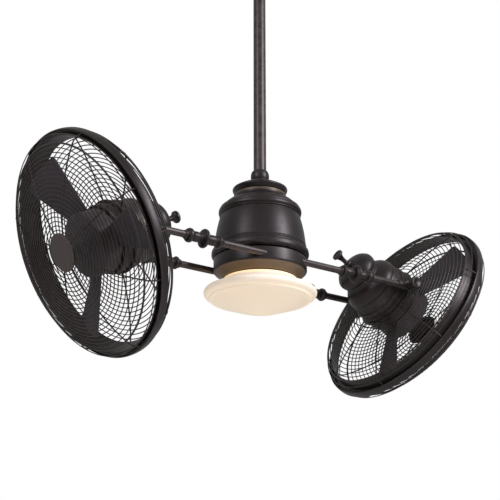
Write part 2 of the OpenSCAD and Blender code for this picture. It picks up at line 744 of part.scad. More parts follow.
module motor_barrel(side) color(BRONZE) on_motor(side) let(neck_r = motor_neck_d / 2)
    difference() {
        spun(concat(
            [[shaft_d, motor_rear], [neck_r, motor_rear], [neck_r, motor_rear + 11]],
            curve([neck_r + 1, motor_rear + 13], [motor_r - 4, motor_rear + 24],
                [motor_r, motor_rear + barrel_shoulder], 6),
            [[motor_r, motor_front], [motor_r - motor_wall, motor_front],
                [motor_r - motor_wall, motor_rear + barrel_shoulder]],
            [[neck_r + 6, motor_rear + 23], [neck_r - motor_wall, motor_rear + 13],
                [neck_r - motor_wall, motor_rear + motor_wall], [boss_r, motor_rear + motor_wall],
                [boss_r, motor_rear + 4 + shaft_bearing_w], [shaft_d, motor_rear + 4 + shaft_bearing_w]]));
        translate([0, 0, motor_rear + 4]) cylinder(r = bearing_r + seat_gap, h = shaft_bearing_w + 1);
    }

function rear_cap_line() = let(r = rear_cap_d / 2, rear = motor_rear - rear_cap_len) concat(
    [[6, rear], [11, rear]],
    curve([13, rear + 0.4], [r - 4, rear + 13], [r, rear + 29], 8),
    [[r - 1.2, motor_rear - 3], [r - 3, motor_rear]]);

module rear_cap(side) color(BRONZE) on_motor(side) difference() {
    spun(concat([[0, motor_rear - rear_cap_len]], rear_cap_line(), [[0, motor_rear]]));
    translate([0, 0, motor_rear - rear_cap_len / 2]) cylinder(d = rear_cap_d - 14, h = rear_cap_len);
    translate([0, 0, motor_rear - rear_cap_len + 8])
        cylinder(d1 = 40, d2 = rear_cap_d - 14, h = rear_cap_len / 2 - 8);
    translate([0, 0, motor_rear - rear_cap_len]) hole(10 + 2 * seat_gap, 20);
}

module front_flange(side) color(BRONZE) on_motor(side) difference() {
    union() {
        spun([
            [shaft_d, flange_front], [flange_r, flange_front], [flange_r, motor_front],
            [motor_r - motor_wall, motor_front], [motor_r - motor_wall, motor_front + 6],
            [flange_r - 3, motor_front + 8], [flange_r - 3, flange_front - 3],
            [boss_r, flange_front - 3], [boss_r, flange_front - 4 - shaft_bearing_w],
            [shaft_d, flange_front - 4 - shaft_bearing_w]
        ]);
        for (turn = [-1, 1]) rotate([turn * 90, 0, 0]) translate([0, 0, flange_r - 3])
            cylinder(r = trunnion_boss_r, h = boss_out - flange_r + 3);
    }
    translate([0, 0, flange_front - 5 - shaft_bearing_w])
        cylinder(r = bearing_r + seat_gap, h = shaft_bearing_w + 1);
    translate([0, 0, motor_front - 20]) cylinder(r = motor_r + seat_gap, h = 20);
    rotate([90, 0, 0]) hole(trunnion_d + 2 * seat_gap, 4 * flange_r);
}

function handle_line() = let(foot = motor_rear - rear_cap_len, r = handle_d / 2) concat(
    [[0, foot - handle_len]],
    curve([r - 3, foot - handle_len], [r, foot - handle_len], [r, foot - handle_len + 3], 4),
    curve([r - 0.5, foot - handle_len + 6], [5.5, foot - handle_len + 9], [5, foot - 13], 6),
    curve([5, foot - 8], [5.5, foot - 3], [9, foot - 2], 4),
    [[9, foot], [5, foot], [5, foot + 9], [0, foot + 9]]);

module tilt_handle(side) color(BRONZE) on_motor(side) spun(handle_line());

// Stud on the knob's side and shouldered bolt with a domed head on the other
module trunnions(side) color(BRONZE_LIT) at_head(side) {
    rotate([90, 0, 0]) translate([0, 0, flange_r - 6])
        cylinder(d = trunnion_d, h = eye_outer - flange_r + 18);
    rotate([-90, 0, 0]) translate([0, 0, flange_r - 6]) {
        cylinder(d = trunnion_d, h = eye_outer - flange_r + 8);
        translate([0, 0, eye_outer - flange_r + 6 + part_gap]) spun(concat([[0, 0]],
            [[trunnion_d, 0], [trunnion_d, 2]], arc([trunnion_d - 4, 2], 4, 0, 90), [[0, 6]]));
    }
}

module lock_knob(side) color(BRONZE) at_head(side) rotate([90, 0, 0])
    translate([0, 0, eye_outer + knob_gap]) difference() {
        spun(concat([[0, 0], [8, 0], [8, 3]],
            curve([6, 4], [6, knob_len * 0.55], [knob_d / 2 - 1, knob_len - 7], 6),
            arc([knob_d / 2 - 3, knob_len - 3], 3, 0, 90), [[0, knob_len]]));
        translate([0, 0, -1]) cylinder(d = trunnion_d + 2 * run_gap, h = 14);
    }

module stator(side) color(COPPER) on_motor(side) difference() {
    union() {
        translate([0, 0, core_a]) cylinder(r = motor_r - motor_wall - seat_gap, h = core_len);
        translate([0, 0, coil_a]) cylinder(r = coil_r, h = coil_len);
    }
    translate([0, 0, coil_a - 1]) cylinder(r = rotor_r + air_gap, h = coil_len + 2);
}

module shaft_bearings(side) color(STEEL) on_motor(side)
    for (a = [motor_rear + 4, flange_front - 4 - shaft_bearing_w]) translate([0, 0, a]) difference() {
        cylinder(r = bearing_r, h = shaft_bearing_w);
        translate([0, 0, -1]) cylinder(d = shaft_d + 2 * run_gap, h = shaft_bearing_w + 2);
    }

module motor_shaft(side) color(STEEL) on_motor(side) {
    translate([0, 0, motor_rear + 4]) cylinder(d = shaft_d, h = hub_top_a - motor_rear - 6);
    translate([0, 0, core_a - rotor_over]) cylinder(r = rotor_r, h = core_len + 2 * rotor_over);
}

// Outline of a flat blade with its root at the hub and its tip on the swept circle
function blade_outline() = let(root = hub_d / 2 - 3, tip = blade_tip_chord / 2) concat(
    [[root, -blade_root_chord / 2]],
    curve([blade_r - 24, -tip + 2], [blade_r - 9, -tip], [blade_r - 7, -tip + 13], 5),
    curve([blade_r - 5, -tip + 20], [blade_r + 1, 0], [blade_r - 5, tip - 20], 6),
    curve([blade_r - 7, tip - 13], [blade_r - 9, tip], [blade_r - 24, tip - 2], 5),
    [[root, blade_root_chord / 2]]);

module blades(side) color(BLADE) on_motor(side) {
    first = side > 0 ? right_blade_angle : left_blade_angle;
    difference() {
        spun([
            [0, hub_top_a], [hub_d / 2 - 3, hub_top_a], [hub_d / 2, hub_top_a - 3],
            [hub_d / 2, hub_foot], [hub_d / 2 - 3, hub_foot], [hub_d / 2 - 3, hub_top_a - 3],
            [12, hub_top_a - 3], [12, hub_top_a - 18], [0, hub_top_a - 18]
        ]);
        translate([0, 0, hub_top_a - 20]) cylinder(d = shaft_d + 2 * seat_gap, h = 18 + seat_gap);
    }
    for (i = [0:blade_count - 1]) rotate([0, 0, 90 + first + 360 * i / blade_count])
        translate([0, 0, blade_a]) rotate([0, -blade_rake, 0]) rotate([blade_pitch, 0, 0])
            linear_extrude(blade_t, center = true) polygon(blade_outline());
}

// ---- Cages ----

// Middle line of a front rib, from the plain disc's seat out to the band
function front_line() = concat(
    curve([disc_d / 2 - 4, cage_a + front_depth], [front_wire_r - 60, cage_a + front_depth - 1],
        [front_wire_r, cage_a + outer_wire_depth], 12),
    [[rim_r - 3, cage_a + outer_wire_depth / 2 + 5], [rim_r, cage_a + rim_depth]]);

// The same for the rear, from the ring on the front flange
function rear_line() = concat(
    curve([flange_r + 3, cage_a - rear_depth], [rear_wire_r - 50, cage_a - rear_depth + 6],
        [rear_wire_r, cage_a - outer_wire_depth], 12),
    [[rim_r - 3, cage_a - outer_wire_depth / 2 - 5], [rim_r, cage_a - rim_depth]]);

// Height of a line of points above radius r
function height_at(line, r) = lookup(r, line);

module ribs(line, turn) for (i = [0:rib_count - 1]) rotate([0, 0, turn + 360 * i / rib_count])
    rotate([90, 0, 0]) linear_extrude(rib_w, center = true) polygon(strip_outline(line, rib_t));

module wires(line, first, out, last) for (r = [first:wire_pitch:last - wire_pitch / 2])
    wire_ring(r, wire_d / 2, height_at(line, r) + out * rib_t / 2);

module grille_rims(out, outer_r) {
    wire_ring(outer_r, 2, cage_a + out * outer_wire_depth);
    wire_ring(rim_r - 3, wire_d / 2, cage_a + out * (outer_wire_depth / 2 + 5));
    wire_ring(rim_r, rim_tube_r, cage_a + out * rim_depth);
}

module front_grille(side) color(BRONZE) on_motor(side) {
    ribs(front_line(), 12);
    wires(front_line(), disc_d / 2 + wire_pitch / 2, 1, front_wire_r);
    grille_rims(1, front_wire_r);
    translate([0, 0, disc_back_a - 3]) difference() {
        cylinder(d = disc_d - 4, h = 3);
        translate([0, 0, -1]) cylinder(d = disc_d - 20, h = 5);
    }
}

module rear_grille(side) color(BRONZE) on_motor(side) {
    ribs(rear_line(), 34);
    wires(rear_line(), flange_r + wire_pitch, -1, rear_wire_r);
    grille_rims(-1, rear_wire_r);
    translate([0, 0, cage_a - rear_depth - 1.4]) difference() {
        cylinder(r = flange_r + 5, h = 2.8);
        translate([0, 0, -1]) cylinder(r = flange_r + seat_gap, h = 5);
    }
}

// Radius of the shroud's inner face at height z over the cage's middle plane
function shroud_r(z) = shroud_rear_r
    + (shroud_front_r - shroud_rear_r) * (z + shroud_back) / (shroud_front + shroud_back);

// Band, shroud and the web between them, which sits between the two grilles' rims
module cage_band(side) color(BRONZE) on_motor(side) translate([0, 0, cage_a]) let(half = band_w / 2)
    spun([
        [cage_r - band_t, -half], [cage_r - 1, -half], [cage_r, band_bevel - half],
        [cage_r, half - band_bevel], [cage_r - 1, half], [cage_r - band_t, half],
        [cage_r - band_t, web_t / 2], [shroud_r(web_t / 2) + shroud_t, web_t / 2],
        [shroud_front_r + shroud_t, shroud_front - shroud_t],
        [shroud_front_r + shroud_flange, shroud_front - shroud_t],
        [shroud_front_r + shroud_flange, shroud_front], [shroud_front_r, shroud_front],
        [shroud_rear_r, -shroud_back], [shroud_rear_r + shroud_t, -shroud_back],
        [shroud_r(-web_t / 2) + shroud_t, -web_t / 2], [cage_r - band_t, -web_t / 2]
    ]);

module disc_cap(side) color(BRONZE_LIT) on_motor(side) translate([0, 0, disc_back_a]) spun([
    [0, 0], [disc_d / 2 - 1, 0], [disc_d / 2, 1], [disc_d / 2, disc_t - 1],
    [disc_d / 2 - 1, disc_t], [0, disc_t]
]);

ceiling_bracket();
ceiling_screws();
canopy();
hanger_ball();
downrod();
rod_pins();
yoke();
neck_cover();
top_cap();
mount_plate();
upper_dome();
housing_barrel();
lower_flange();
centre_stem();
stem_nut();
gear_motor();
brush_block();
light_pan();
lampholder();
lamp();
glass_dish();
dish_screws();
drive_pinion();
carrier();
ring_gear();
carrier_bearings();
slip_ring();
collar_shell();
collar_plate();
arm_rods();
rod_fittings();
rod_eyes();
motor_barrel(-1);  // left_motor_barrel
rear_cap(-1);  // left_rear_cap
front_flange(-1);  // left_front_flange
tilt_handle(-1);  // left_tilt_handle
trunnions(-1);  // left_trunnions
stator(-1);  // left_stator
shaft_bearings(-1);  // left_bearings
rear_grille(-1);  // left_rear_grille
front_grille(-1);  // left_front_grille
cage_band(-1);  // left_cage_band
disc_cap(-1);  // left_disc_cap
lock_knob(-1);  // left_lock_knob
motor_shaft(-1);  // left_motor_shaft
blades(-1);  // left_blades
motor_barrel(1);  // right_motor_barrel
rear_cap(1);  // right_rear_cap
front_flange(1);  // right_front_flange
tilt_handle(1);  // right_tilt_handle
trunnions(1);  // right_trunnions
stator(1);  // right_stator
shaft_bearings(1);  // right_bearings
rear_grille(1);  // right_rear_grille
front_grille(1);  // right_front_grille
cage_band(1);  // right_cage_band
disc_cap(1);  // right_disc_cap
lock_knob(1);  // right_lock_knob
motor_shaft(1);  // right_motor_shaft
blades(1);  // right_blades
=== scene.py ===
"""Twin head ceiling fan: the surfaces and finishes of every piece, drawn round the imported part.

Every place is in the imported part's own frame: the origin is the centre of the ceiling face and
+Z points up. Shapes are worked out in millimetres and become metres when their mesh is made.
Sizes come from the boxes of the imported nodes, and what a user would change stands in the
property groups below.
"""

import json
import math
from types import SimpleNamespace

import bpy
import numpy as np
from bpy.props import FloatProperty, FloatVectorProperty, IntProperty, PointerProperty
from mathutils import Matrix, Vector


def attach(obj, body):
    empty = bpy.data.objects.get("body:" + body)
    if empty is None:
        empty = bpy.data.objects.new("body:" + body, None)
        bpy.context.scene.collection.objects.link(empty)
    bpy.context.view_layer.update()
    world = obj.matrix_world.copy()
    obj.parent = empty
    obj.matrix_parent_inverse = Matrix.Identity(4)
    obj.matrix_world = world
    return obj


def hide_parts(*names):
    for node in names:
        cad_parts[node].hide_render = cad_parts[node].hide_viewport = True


bl_info = {
    "name": "Twin head ceiling fan",
    "version": (1, 0, 0),
    "blender": (4, 5, 0),
    "location": "3D View > Sidebar > Ceiling fan",
    "description": "Draws a ceiling fan with two caged heads and a glass dish light",
    "category": "Add Mesh",
}

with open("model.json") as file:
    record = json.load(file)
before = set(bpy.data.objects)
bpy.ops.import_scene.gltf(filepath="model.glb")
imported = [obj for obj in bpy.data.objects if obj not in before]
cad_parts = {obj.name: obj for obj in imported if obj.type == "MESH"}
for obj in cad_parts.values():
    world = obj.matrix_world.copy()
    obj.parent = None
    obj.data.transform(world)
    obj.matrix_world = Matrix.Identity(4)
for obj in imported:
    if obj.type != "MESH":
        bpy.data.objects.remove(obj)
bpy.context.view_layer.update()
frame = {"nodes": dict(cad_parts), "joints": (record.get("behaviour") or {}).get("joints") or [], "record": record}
MM = 0.001      # metres in a millimetre
NEAR = 1e-4     # points closer than this are one point, in millimetres
ROUND = 144     # points round a plain turned piece
FINE = 192      # points round a large one


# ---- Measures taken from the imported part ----

class Measure:
    """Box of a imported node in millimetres: low and high corners, heights, half its width along
    Y, and its largest and smallest distance from the third axis."""

    def __init__(self, points):
        self.low, self.high = points.min(0), points.max(0)
        self.foot, self.top = self.low[2], self.high[2]
        self.radius = (self.high[1] - self.low[1]) / 2
        self.height = self.top - self.foot
        away = np.hypot(points[:, 0], points[:, 1])
        self.reach, self.bore = away.max(), away.min()


def node_points(node):
    """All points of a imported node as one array, in millimetres."""
    mesh = frame["nodes"][node].data
    points = np.empty(len(mesh.vertices) * 3)
    mesh.vertices.foreach_get("co", points)
    return points.reshape(-1, 3) / MM


def measure(node):
    """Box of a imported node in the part's frame."""
    return Measure(node_points(node))


def joint(name):
    """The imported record's joint of that name."""
    return next(j for j in frame["joints"] if j["name"] == name)


class Head:
    """One fan head and its motor axes: right across, then along the pivot, then forward.

    A point (u, v, w) in motor axes lies at pivot + u * down + v * pivot line + w * forward,
    where down is the pivot line crossed with forward."""

    def __init__(self, name):
        self.name = name
        tilt = joint(name + "_tilt")
        self.pivot = np.array(tilt["pos_m"], float) / MM
        along = np.array(tilt["axis"], float)
        forward = np.array(joint(name + "_spin")["axis"], float)
        forward /= np.linalg.norm(forward)
        self.axes = np.stack([np.cross(along, forward), along, forward])

    def place(self, points):
        """Motor axes to the part's frame."""
        return self.pivot + points @ self.axes

    def measure(self, node):
        """Box of one of this head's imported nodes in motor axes."""
        return Measure((node_points(f"{self.name}_{node}") - self.pivot) @ self.axes.T)

    def draw(self, shape, name, finish, node, part="head", crease=38):
        """Draws a shape that is in motor axes as one of this head's pieces."""
        draw_piece(shape.moved(self.place), f"{self.name}_{name}", f"{self.name}_{part}",
                   finish, f"{self.name}_{node}", crease)


HEADS = [Head("left"), Head("right")]
ARM_Z = HEADS[0].pivot[2]


# ---- Surfaces ----

def chain(*lines):
    """One line of points out of several lines or single points."""
    return np.concatenate([np.atleast_2d(np.asarray(line, float)) for line in lines])


def about(x, y, *lines):
    """The chain of lines, moved so that their (0, 0) lies at (x, y)."""
    return chain(*lines) + (x, y)


def bend(a, b, c, steps=12):
    """Quadratic curve: (1-t)^2 a + 2t(1-t) b + t^2 c."""
    t = np.linspace(0, 1, steps + 1)[:, None]
    a, b, c = (np.asarray(p, float) for p in (a, b, c))
    return (1 - t) ** 2 * a + 2 * t * (1 - t) * b + t ** 2 * c


def arc(centre, radius, start, end, steps=8):
    """Arc about a centre: centre + radius * (cos a, sin a), a in degrees from start to end."""
    a = np.radians(np.linspace(start, end, steps + 1))
    return np.asarray(centre, float) + radius * np.stack([np.cos(a), np.sin(a)], 1)


def bead(r, low, high, rise, steps=8):
    """Half-round bead on a wall of radius r: r + rise * sin(pi t), t runs from low to high."""
    t = np.linspace(0, 1, steps + 1)
    return np.stack([r + rise * np.sin(np.pi * t), low + (high - low) * t], 1)


def walled(line, wall):
    """Closed outline of a sheet: the line, then the line back again moved inwards along its
    normals by the wall's thickness."""
    step = np.gradient(line, axis=0)
    step /= np.linalg.norm(step, axis=1, keepdims=True)
    inner = line + wall * np.stack([-step[:, 1], step[:, 0]], 1)
    inner[:, 0] = np.maximum(inner[:, 0], 0.2)
    return chain(line, inner[::-1])


def grid_faces(rows, cols, wrap_rows, wrap_cols):
    """Quads between neighbours of a grid of points numbered row by row."""
    r = np.arange(rows if wrap_rows else rows - 1)[:, None]
    c = np.arange(cols if wrap_cols else cols - 1)[None, :]
    r2, c2 = (r + 1) % rows, (c + 1) % cols
    corners = [r * cols + c, r * cols + c2, r2 * cols + c2, r2 * cols + c]
    return np.stack(corners, -1).reshape(-1, 4)


class Shape:
    """Points and faces of a piece, put together from several closed surfaces."""

    def __init__(self):
        self.points, self.faces, self.count = [], [], 0

    def add(self, points, faces, tips=()):
        """Adds a surface. Each tip is (row of point numbers, new point, order): a fan of
        triangles that closes a row at a pole."""
        points = np.asarray(points, float).reshape(-1, 3)
        faces = [list(f) for f in (faces + self.count).tolist()]
        for ring, tip, turn in tips:
            centre = self.count + len(points)
            points = np.concatenate([points, np.asarray(tip, float).reshape(1, 3)])
            ring = (np.asarray(ring) + self.count)[::turn]
            faces += [[a, b, centre] for a, b in zip(ring.tolist(), np.roll(ring, -1).tolist())]
        self.points.append(points)
        self.faces += faces
        self.count += len(points)
        return self

    def moved(self, place):
        """Puts all points through a function of an array of points."""
        self.points = [place(np.concatenate(self.points))]
        return self

    def copied(self, turns):
        """Copies of everything turned about the third axis by each angle in degrees."""
        points, faces = np.concatenate(self.points), self.faces
        out = Shape()
        for a in np.radians(np.asarray(turns, float)):
            turn = np.array([[math.cos(a), math.sin(a), 0], [-math.sin(a), math.cos(a), 0],
                             [0, 0, 1]])
            out.points.append(points @ turn)
            out.faces += [[i + out.count for i in f] for f in faces]
            out.count += len(points)
        return out

    def join(self, other):
        """Adds the surfaces of another shape."""
        shift = self.count
        self.points += other.points
        self.faces += [[i + shift for i in f] for f in other.faces]
        self.count += other.count
        return self


def lathe(line, segments=ROUND):
    """Surface of revolution: (r cos a, r sin a, z) for the points (r, z) of a closed outline.
    Ends of the outline on the axis become poles; otherwise the outline closes on itself."""
    line = np.asarray(line, float)
    line = line[np.r_[True, np.linalg.norm(np.diff(line, axis=0), axis=1) > NEAR]]
    x, y = line.T
    if np.sum(x * np.roll(y, -1) - np.roll(x, -1) * y) < 0:
        line = line[::-1]
    first, last = line[0, 0] < NEAR, line[-1, 0] < NEAR
    body = line[int(first):len(line) - int(last)]
    a = np.linspace(0, 2 * math.pi, segments, endpoint=False)
    r, z = body[:, :1], body[:, 1:]
    points = np.stack([r * np.cos(a), r * np.sin(a), z + 0 * a], -1)
    faces = grid_faces(len(body), segments, not (first or last), True)
    tips = []
    if first:
        tips.append((np.arange(segments), (0, 0, line[0, 1]), -1))
    if last:
        start = (len(body) - 1) * segments
        tips.append((start + np.arange(segments), (0, 0, line[-1, 1]), 1))
    return Shape().add(points, faces, tips)


def hoop(r, tube, height, segments=ROUND, sides=8):
    """Ring of round wire: radius r + tube cos b, height + tube sin b."""
    b = np.linspace(0, 360, sides, endpoint=False)
    line = np.array([r, height]) + tube * np.stack(
        [np.cos(np.radians(b)), np.sin(np.radians(b))], 1)
    return lathe(line, segments)


def wire(line, tube, sides=8):
    """Round wire along a line of (r, z) points in the plane of the first and third axes:
    point + tube * (cos b * normal + sin b * second axis). Its ends are closed by domed tips."""
    line = np.asarray(line, float)
    step = np.gradient(line, axis=0)
    step /= np.linalg.norm(step, axis=1, keepdims=True)
    b = np.linspace(0, 2 * math.pi, sides, endpoint=False)
    normal = np.stack([-step[:, 1], np.zeros(len(step)), step[:, 0]], 1)[:, None]
    centre = np.stack([line[:, 0], np.zeros(len(line)), line[:, 1]], 1)[:, None]
    side = np.array([0.0, 1.0, 0.0])
    points = centre + tube * (np.cos(b)[:, None] * normal - np.sin(b)[:, None] * side)
    ahead = np.stack([step[:, 0], np.zeros(len(step)), step[:, 1]], 1) * tube * 0.5
    rows = len(line)
    tips = [(np.arange(sides), centre[0, 0] - ahead[0], -1),
            ((rows - 1) * sides + np.arange(sides), centre[-1, 0] + ahead[-1], 1)]
    return Shape().add(points, grid_faces(rows, sides, False, True), tips)


def lying(x, y):
    """Lays a shape's third axis along +X, through (x, y) in the arm plane."""
    def place(points):
        u, v, w = points.T
        return np.stack([x + w, y + v, ARM_Z - u], 1)
    return place


def crosswise(sign, start):
    """Lays a shape's third axis along the second motor axis, outwards on one side."""
    def place(points):
        u, v, w = points.T
        return np.stack([u, sign * (start + w), sign * v], 1)
    return place


def link_object(name, data):
    """New object in the scene that shows the data."""
    made = bpy.data.objects.new(name, data)
    bpy.context.scene.collection.objects.link(made)
    return made


def draw_piece(shape, name, body, finish, node, crease=38):
    """Makes a shape's mesh in metres, gives it one of the record's finishes and lets it ride on
    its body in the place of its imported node."""
    mesh = bpy.data.meshes.new(name)
    mesh.from_pydata((np.concatenate(shape.points) * MM).tolist(), [], shape.faces)
    mesh.validate()
    mesh.polygons.foreach_set("use_smooth", np.ones(len(mesh.polygons), bool))
    mesh.set_sharp_from_angle(angle=math.radians(crease))
    mesh.materials.append(FINISH[finish])
    piece = link_object(name, mesh)
    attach(piece, body)
    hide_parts(node)


# ---- Finishes ----

class Net:
    """A node tree that is filled in from left to right."""

    def __init__(self, tree):
        self.tree = tree

    def node(self, kind, inputs=None, **settings):
        """Adds a node, sets its properties and its inputs: values or other nodes' outputs."""
        made = self.tree.nodes.new(kind)
        made.location = (220 * len(self.tree.nodes), 0)
        for key, value in settings.items():
            setattr(made, key, value)
        self.fill(made, inputs or {})
        return made

    def fill(self, node, inputs):
        """Sets a node's inputs by name: values or other nodes' outputs."""
        for key, value in inputs.items():
            self.put(node.inputs[key], value)

    def put(self, socket, value):
        """Links an output to a socket, or sets the socket's own value."""
        if isinstance(value, bpy.types.NodeSocket):
            self.tree.links.new(value, socket)
        else:
            socket.default_value = value

    def noise(self, vector, scale, detail=3.0, roughness=0.55):
        """Noise pattern, from 0 to 1."""
        made = self.node("ShaderNodeTexNoise", {
            "Vector": vector, "Scale": scale, "Detail": detail, "Roughness": roughness})
        return made.outputs["Fac"]

    def remap(self, value, low, high, to_low=0.0, to_high=1.0):
        """Straight line from one range of numbers to another, held at its ends."""
        made = self.node("ShaderNodeMapRange", {
            "Value": value, "From Min": low, "From Max": high,
            "To Min": to_low, "To Max": to_high}, clamp=True)
        return made.outputs["Result"]

    def math(self, operation, a, b=0.0):
        """One sum, product or other operation of two numbers."""
        return self.node("ShaderNodeMath", {0: a, 1: b}, operation=operation).outputs[0]

    def mix(self, share, a, b):
        """Colour that runs from a to b."""
        return self.node("ShaderNodeMix", {0: share, 6: a, 7: b}, data_type="RGBA").outputs[2]

    def relief(self, height, strength, distance=0.0002):
        """Normal of a surface with this fine relief."""
        return self.node("ShaderNodeBump", {
            "Height": height, "Strength": strength, "Distance": distance}).outputs["Normal"]

    def shade(self, inputs):
        """Adds the Principled shader with these inputs and the material's output."""
        surface = self.node("ShaderNodeBsdfPrincipled", inputs)
        self.node("ShaderNodeOutputMaterial", {"Surface": surface.outputs["BSDF"]})


def start_material(name):
    """Empty material, its net and its Object coordinates."""
    material = bpy.data.materials.new(name)
    material.use_nodes = True
    net = Net(material.node_tree)
    net.tree.nodes.clear()
    return material, net, net.node("ShaderNodeTexCoord").outputs["Object"]


def group_of(name, inputs, outputs):
    """Empty node group with named sockets, and its net, input node and output node."""
    tree = bpy.data.node_groups.new(name, "ShaderNodeTree")
    for socket, kind, value in inputs:
        made = tree.interface.new_socket(socket, in_out="INPUT", socket_type=kind)
        if value is not None:
            made.default_value = value
    for socket, kind in outputs:
        tree.interface.new_socket(socket, in_out="OUTPUT", socket_type=kind)
    net = Net(tree)
    return net, net.node("NodeGroupInput").outputs, net.node("NodeGroupOutput")


FLOAT, COLOR, VECTOR = "NodeSocketFloat", "NodeSocketColor", "NodeSocketVector"


def make_baked_paint_group():
    """Baked paint on metal: cloudy colour, rubbed edges, fine orange-peel and a varying
    sheen. Edge = where the surface is sharply convex, broken up by noise."""
    net, given, out = group_of("Baked paint", [
        ("Place", VECTOR, None), ("Paint", COLOR, None), ("Rubbed", COLOR, None),
        ("Cloud size", FLOAT, 9.0), ("Cloud depth", FLOAT, 0.25), ("Edge wear", FLOAT, 0.5),
        ("Grain size", FLOAT, 900.0), ("Gloss low", FLOAT, 0.3), ("Gloss high", FLOAT, 0.45),
    ], [("Color", COLOR), ("Roughness", FLOAT), ("Height", FLOAT)])
    place = given["Place"]
    cloud = net.noise(place, given["Cloud size"], 4.0)
    fine = net.noise(place, given["Grain size"], 2.0)
    patch = net.noise(place, net.math("MULTIPLY", given["Cloud size"], 7.0), 5.0, 0.65)
    geometry = net.node("ShaderNodeNewGeometry")
    edge = net.remap(geometry.outputs["Pointiness"], 0.505, 0.56)
    edge = net.math("MULTIPLY", edge, net.remap(patch, 0.35, 0.6, 0.25, 1.0))
    edge = net.math("MULTIPLY", edge, given["Edge wear"])
    shade = net.math("MULTIPLY", net.remap(cloud, 0.3, 0.7, -1.0, 1.0), given["Cloud depth"])
    bright = net.node("ShaderNodeHueSaturation", {
        "Color": given["Paint"], "Value": net.math("ADD", shade, 1.0)}).outputs["Color"]
    speck = net.remap(fine, 0.62, 0.75, 0.0, 0.35)
    colour = net.mix(net.math("MULTIPLY", speck, 0.35), bright, given["Rubbed"])
    colour = net.mix(edge, colour, given["Rubbed"])
    net.fill(out, {
        "Color": colour,
        "Roughness": net.remap(patch, 0.3, 0.7, given["Gloss low"], given["Gloss high"]),
        "Height": net.math("ADD", fine, net.math("MULTIPLY", patch, 0.4))})
    return net.tree


def make_machined_group():
    """Machined or rolled metal: streaks along one axis, small stains and a duller film.
    Streaks = noise squeezed along the given scale vector."""
    net, given, out = group_of("Machined metal", [
        ("Place", VECTOR, None), ("Metal", COLOR, None), ("Stain", COLOR, None),
        ("Streak size", FLOAT, 240.0), ("Stain share", FLOAT, 0.4),
        ("Gloss low", FLOAT, 0.25), ("Gloss high", FLOAT, 0.42),
    ], [("Color", COLOR), ("Roughness", FLOAT), ("Height", FLOAT)])
    squeezed = net.node("ShaderNodeMapping", {
        "Vector": given["Place"], "Scale": (1.0, 1.0, 9.0)}).outputs["Vector"]
    streak = net.noise(squeezed, given["Streak size"], 3.0)
    blot = net.noise(given["Place"], 38.0, 5.0, 0.6)
    share = net.math("MULTIPLY", net.remap(blot, 0.45, 0.7), given["Stain share"])
    colour = net.mix(share, given["Metal"], given["Stain"])
    colour = net.mix(net.remap(streak, 0.5, 0.8, 0.0, 0.25), colour, given["Stain"])
    net.fill(out, {
        "Color": colour, "Height": streak,
        "Roughness": net.remap(streak, 0.3, 0.7, given["Gloss low"], given["Gloss high"])})
    return net.tree


def make_material(name, group, values, shader, bump):
    """Material with one Principled shader fed by a shared group, on Object coordinates."""
    material, net, place = start_material(name)
    effect = net.node("ShaderNodeGroup", node_tree=group)
    net.fill(effect, {"Place": place, **values})
    made = effect.outputs
    net.shade({"Base Color": made["Color"], "Roughness": made["Roughness"],
               "Normal": net.relief(made["Height"], bump), **shader})
    return material


def rgba(colour):
    """Colour with its alpha."""
    return (*colour, 1.0)


def make_opal_glass(name, colour, glow):
    """Satin opal glass lit from inside: cream, with a weak glow whose colour runs from cream at
    the foot to amber at the neck."""
    material, net, place = start_material(name)
    height = net.node("ShaderNodeSeparateXYZ", {0: place}).outputs["Z"]
    dish = measure("glass_dish")
    up = net.remap(height, dish.foot * MM, dish.top * MM)
    cloud = net.noise(place, 14.0, 3.0)
    fine = net.noise(place, 420.0, 2.0)
    warm = net.mix(net.remap(cloud, 0.3, 0.7, 0.0, 0.25), rgba(colour), rgba((0.93, 0.74, 0.54)))
    warmer = net.mix(net.remap(up, 0.62, 0.9), rgba((1.0, 0.80, 0.58)), rgba((1.0, 0.66, 0.30)))
    net.shade({
        "Base Color": net.mix(net.remap(up, 0.35, 0.75), warm, rgba((0.93, 0.88, 0.82))),
        "Roughness": net.remap(cloud, 0.3, 0.7, 0.34, 0.42), "Normal": net.relief(fine, 0.05),
        "Emission Color": net.mix(net.remap(up, 0.86, 1.0), warmer, rgba((3.4, 2.2, 0.95))),
        "Emission Strength": glow, "Subsurface Weight": 0.25,
        "Subsurface Radius": (0.012, 0.009, 0.006), "Subsurface Scale": 1.0,
        "IOR": 1.45, "Coat Weight": 0.15, "Coat Roughness": 0.3})
    return material


FINISH = {}


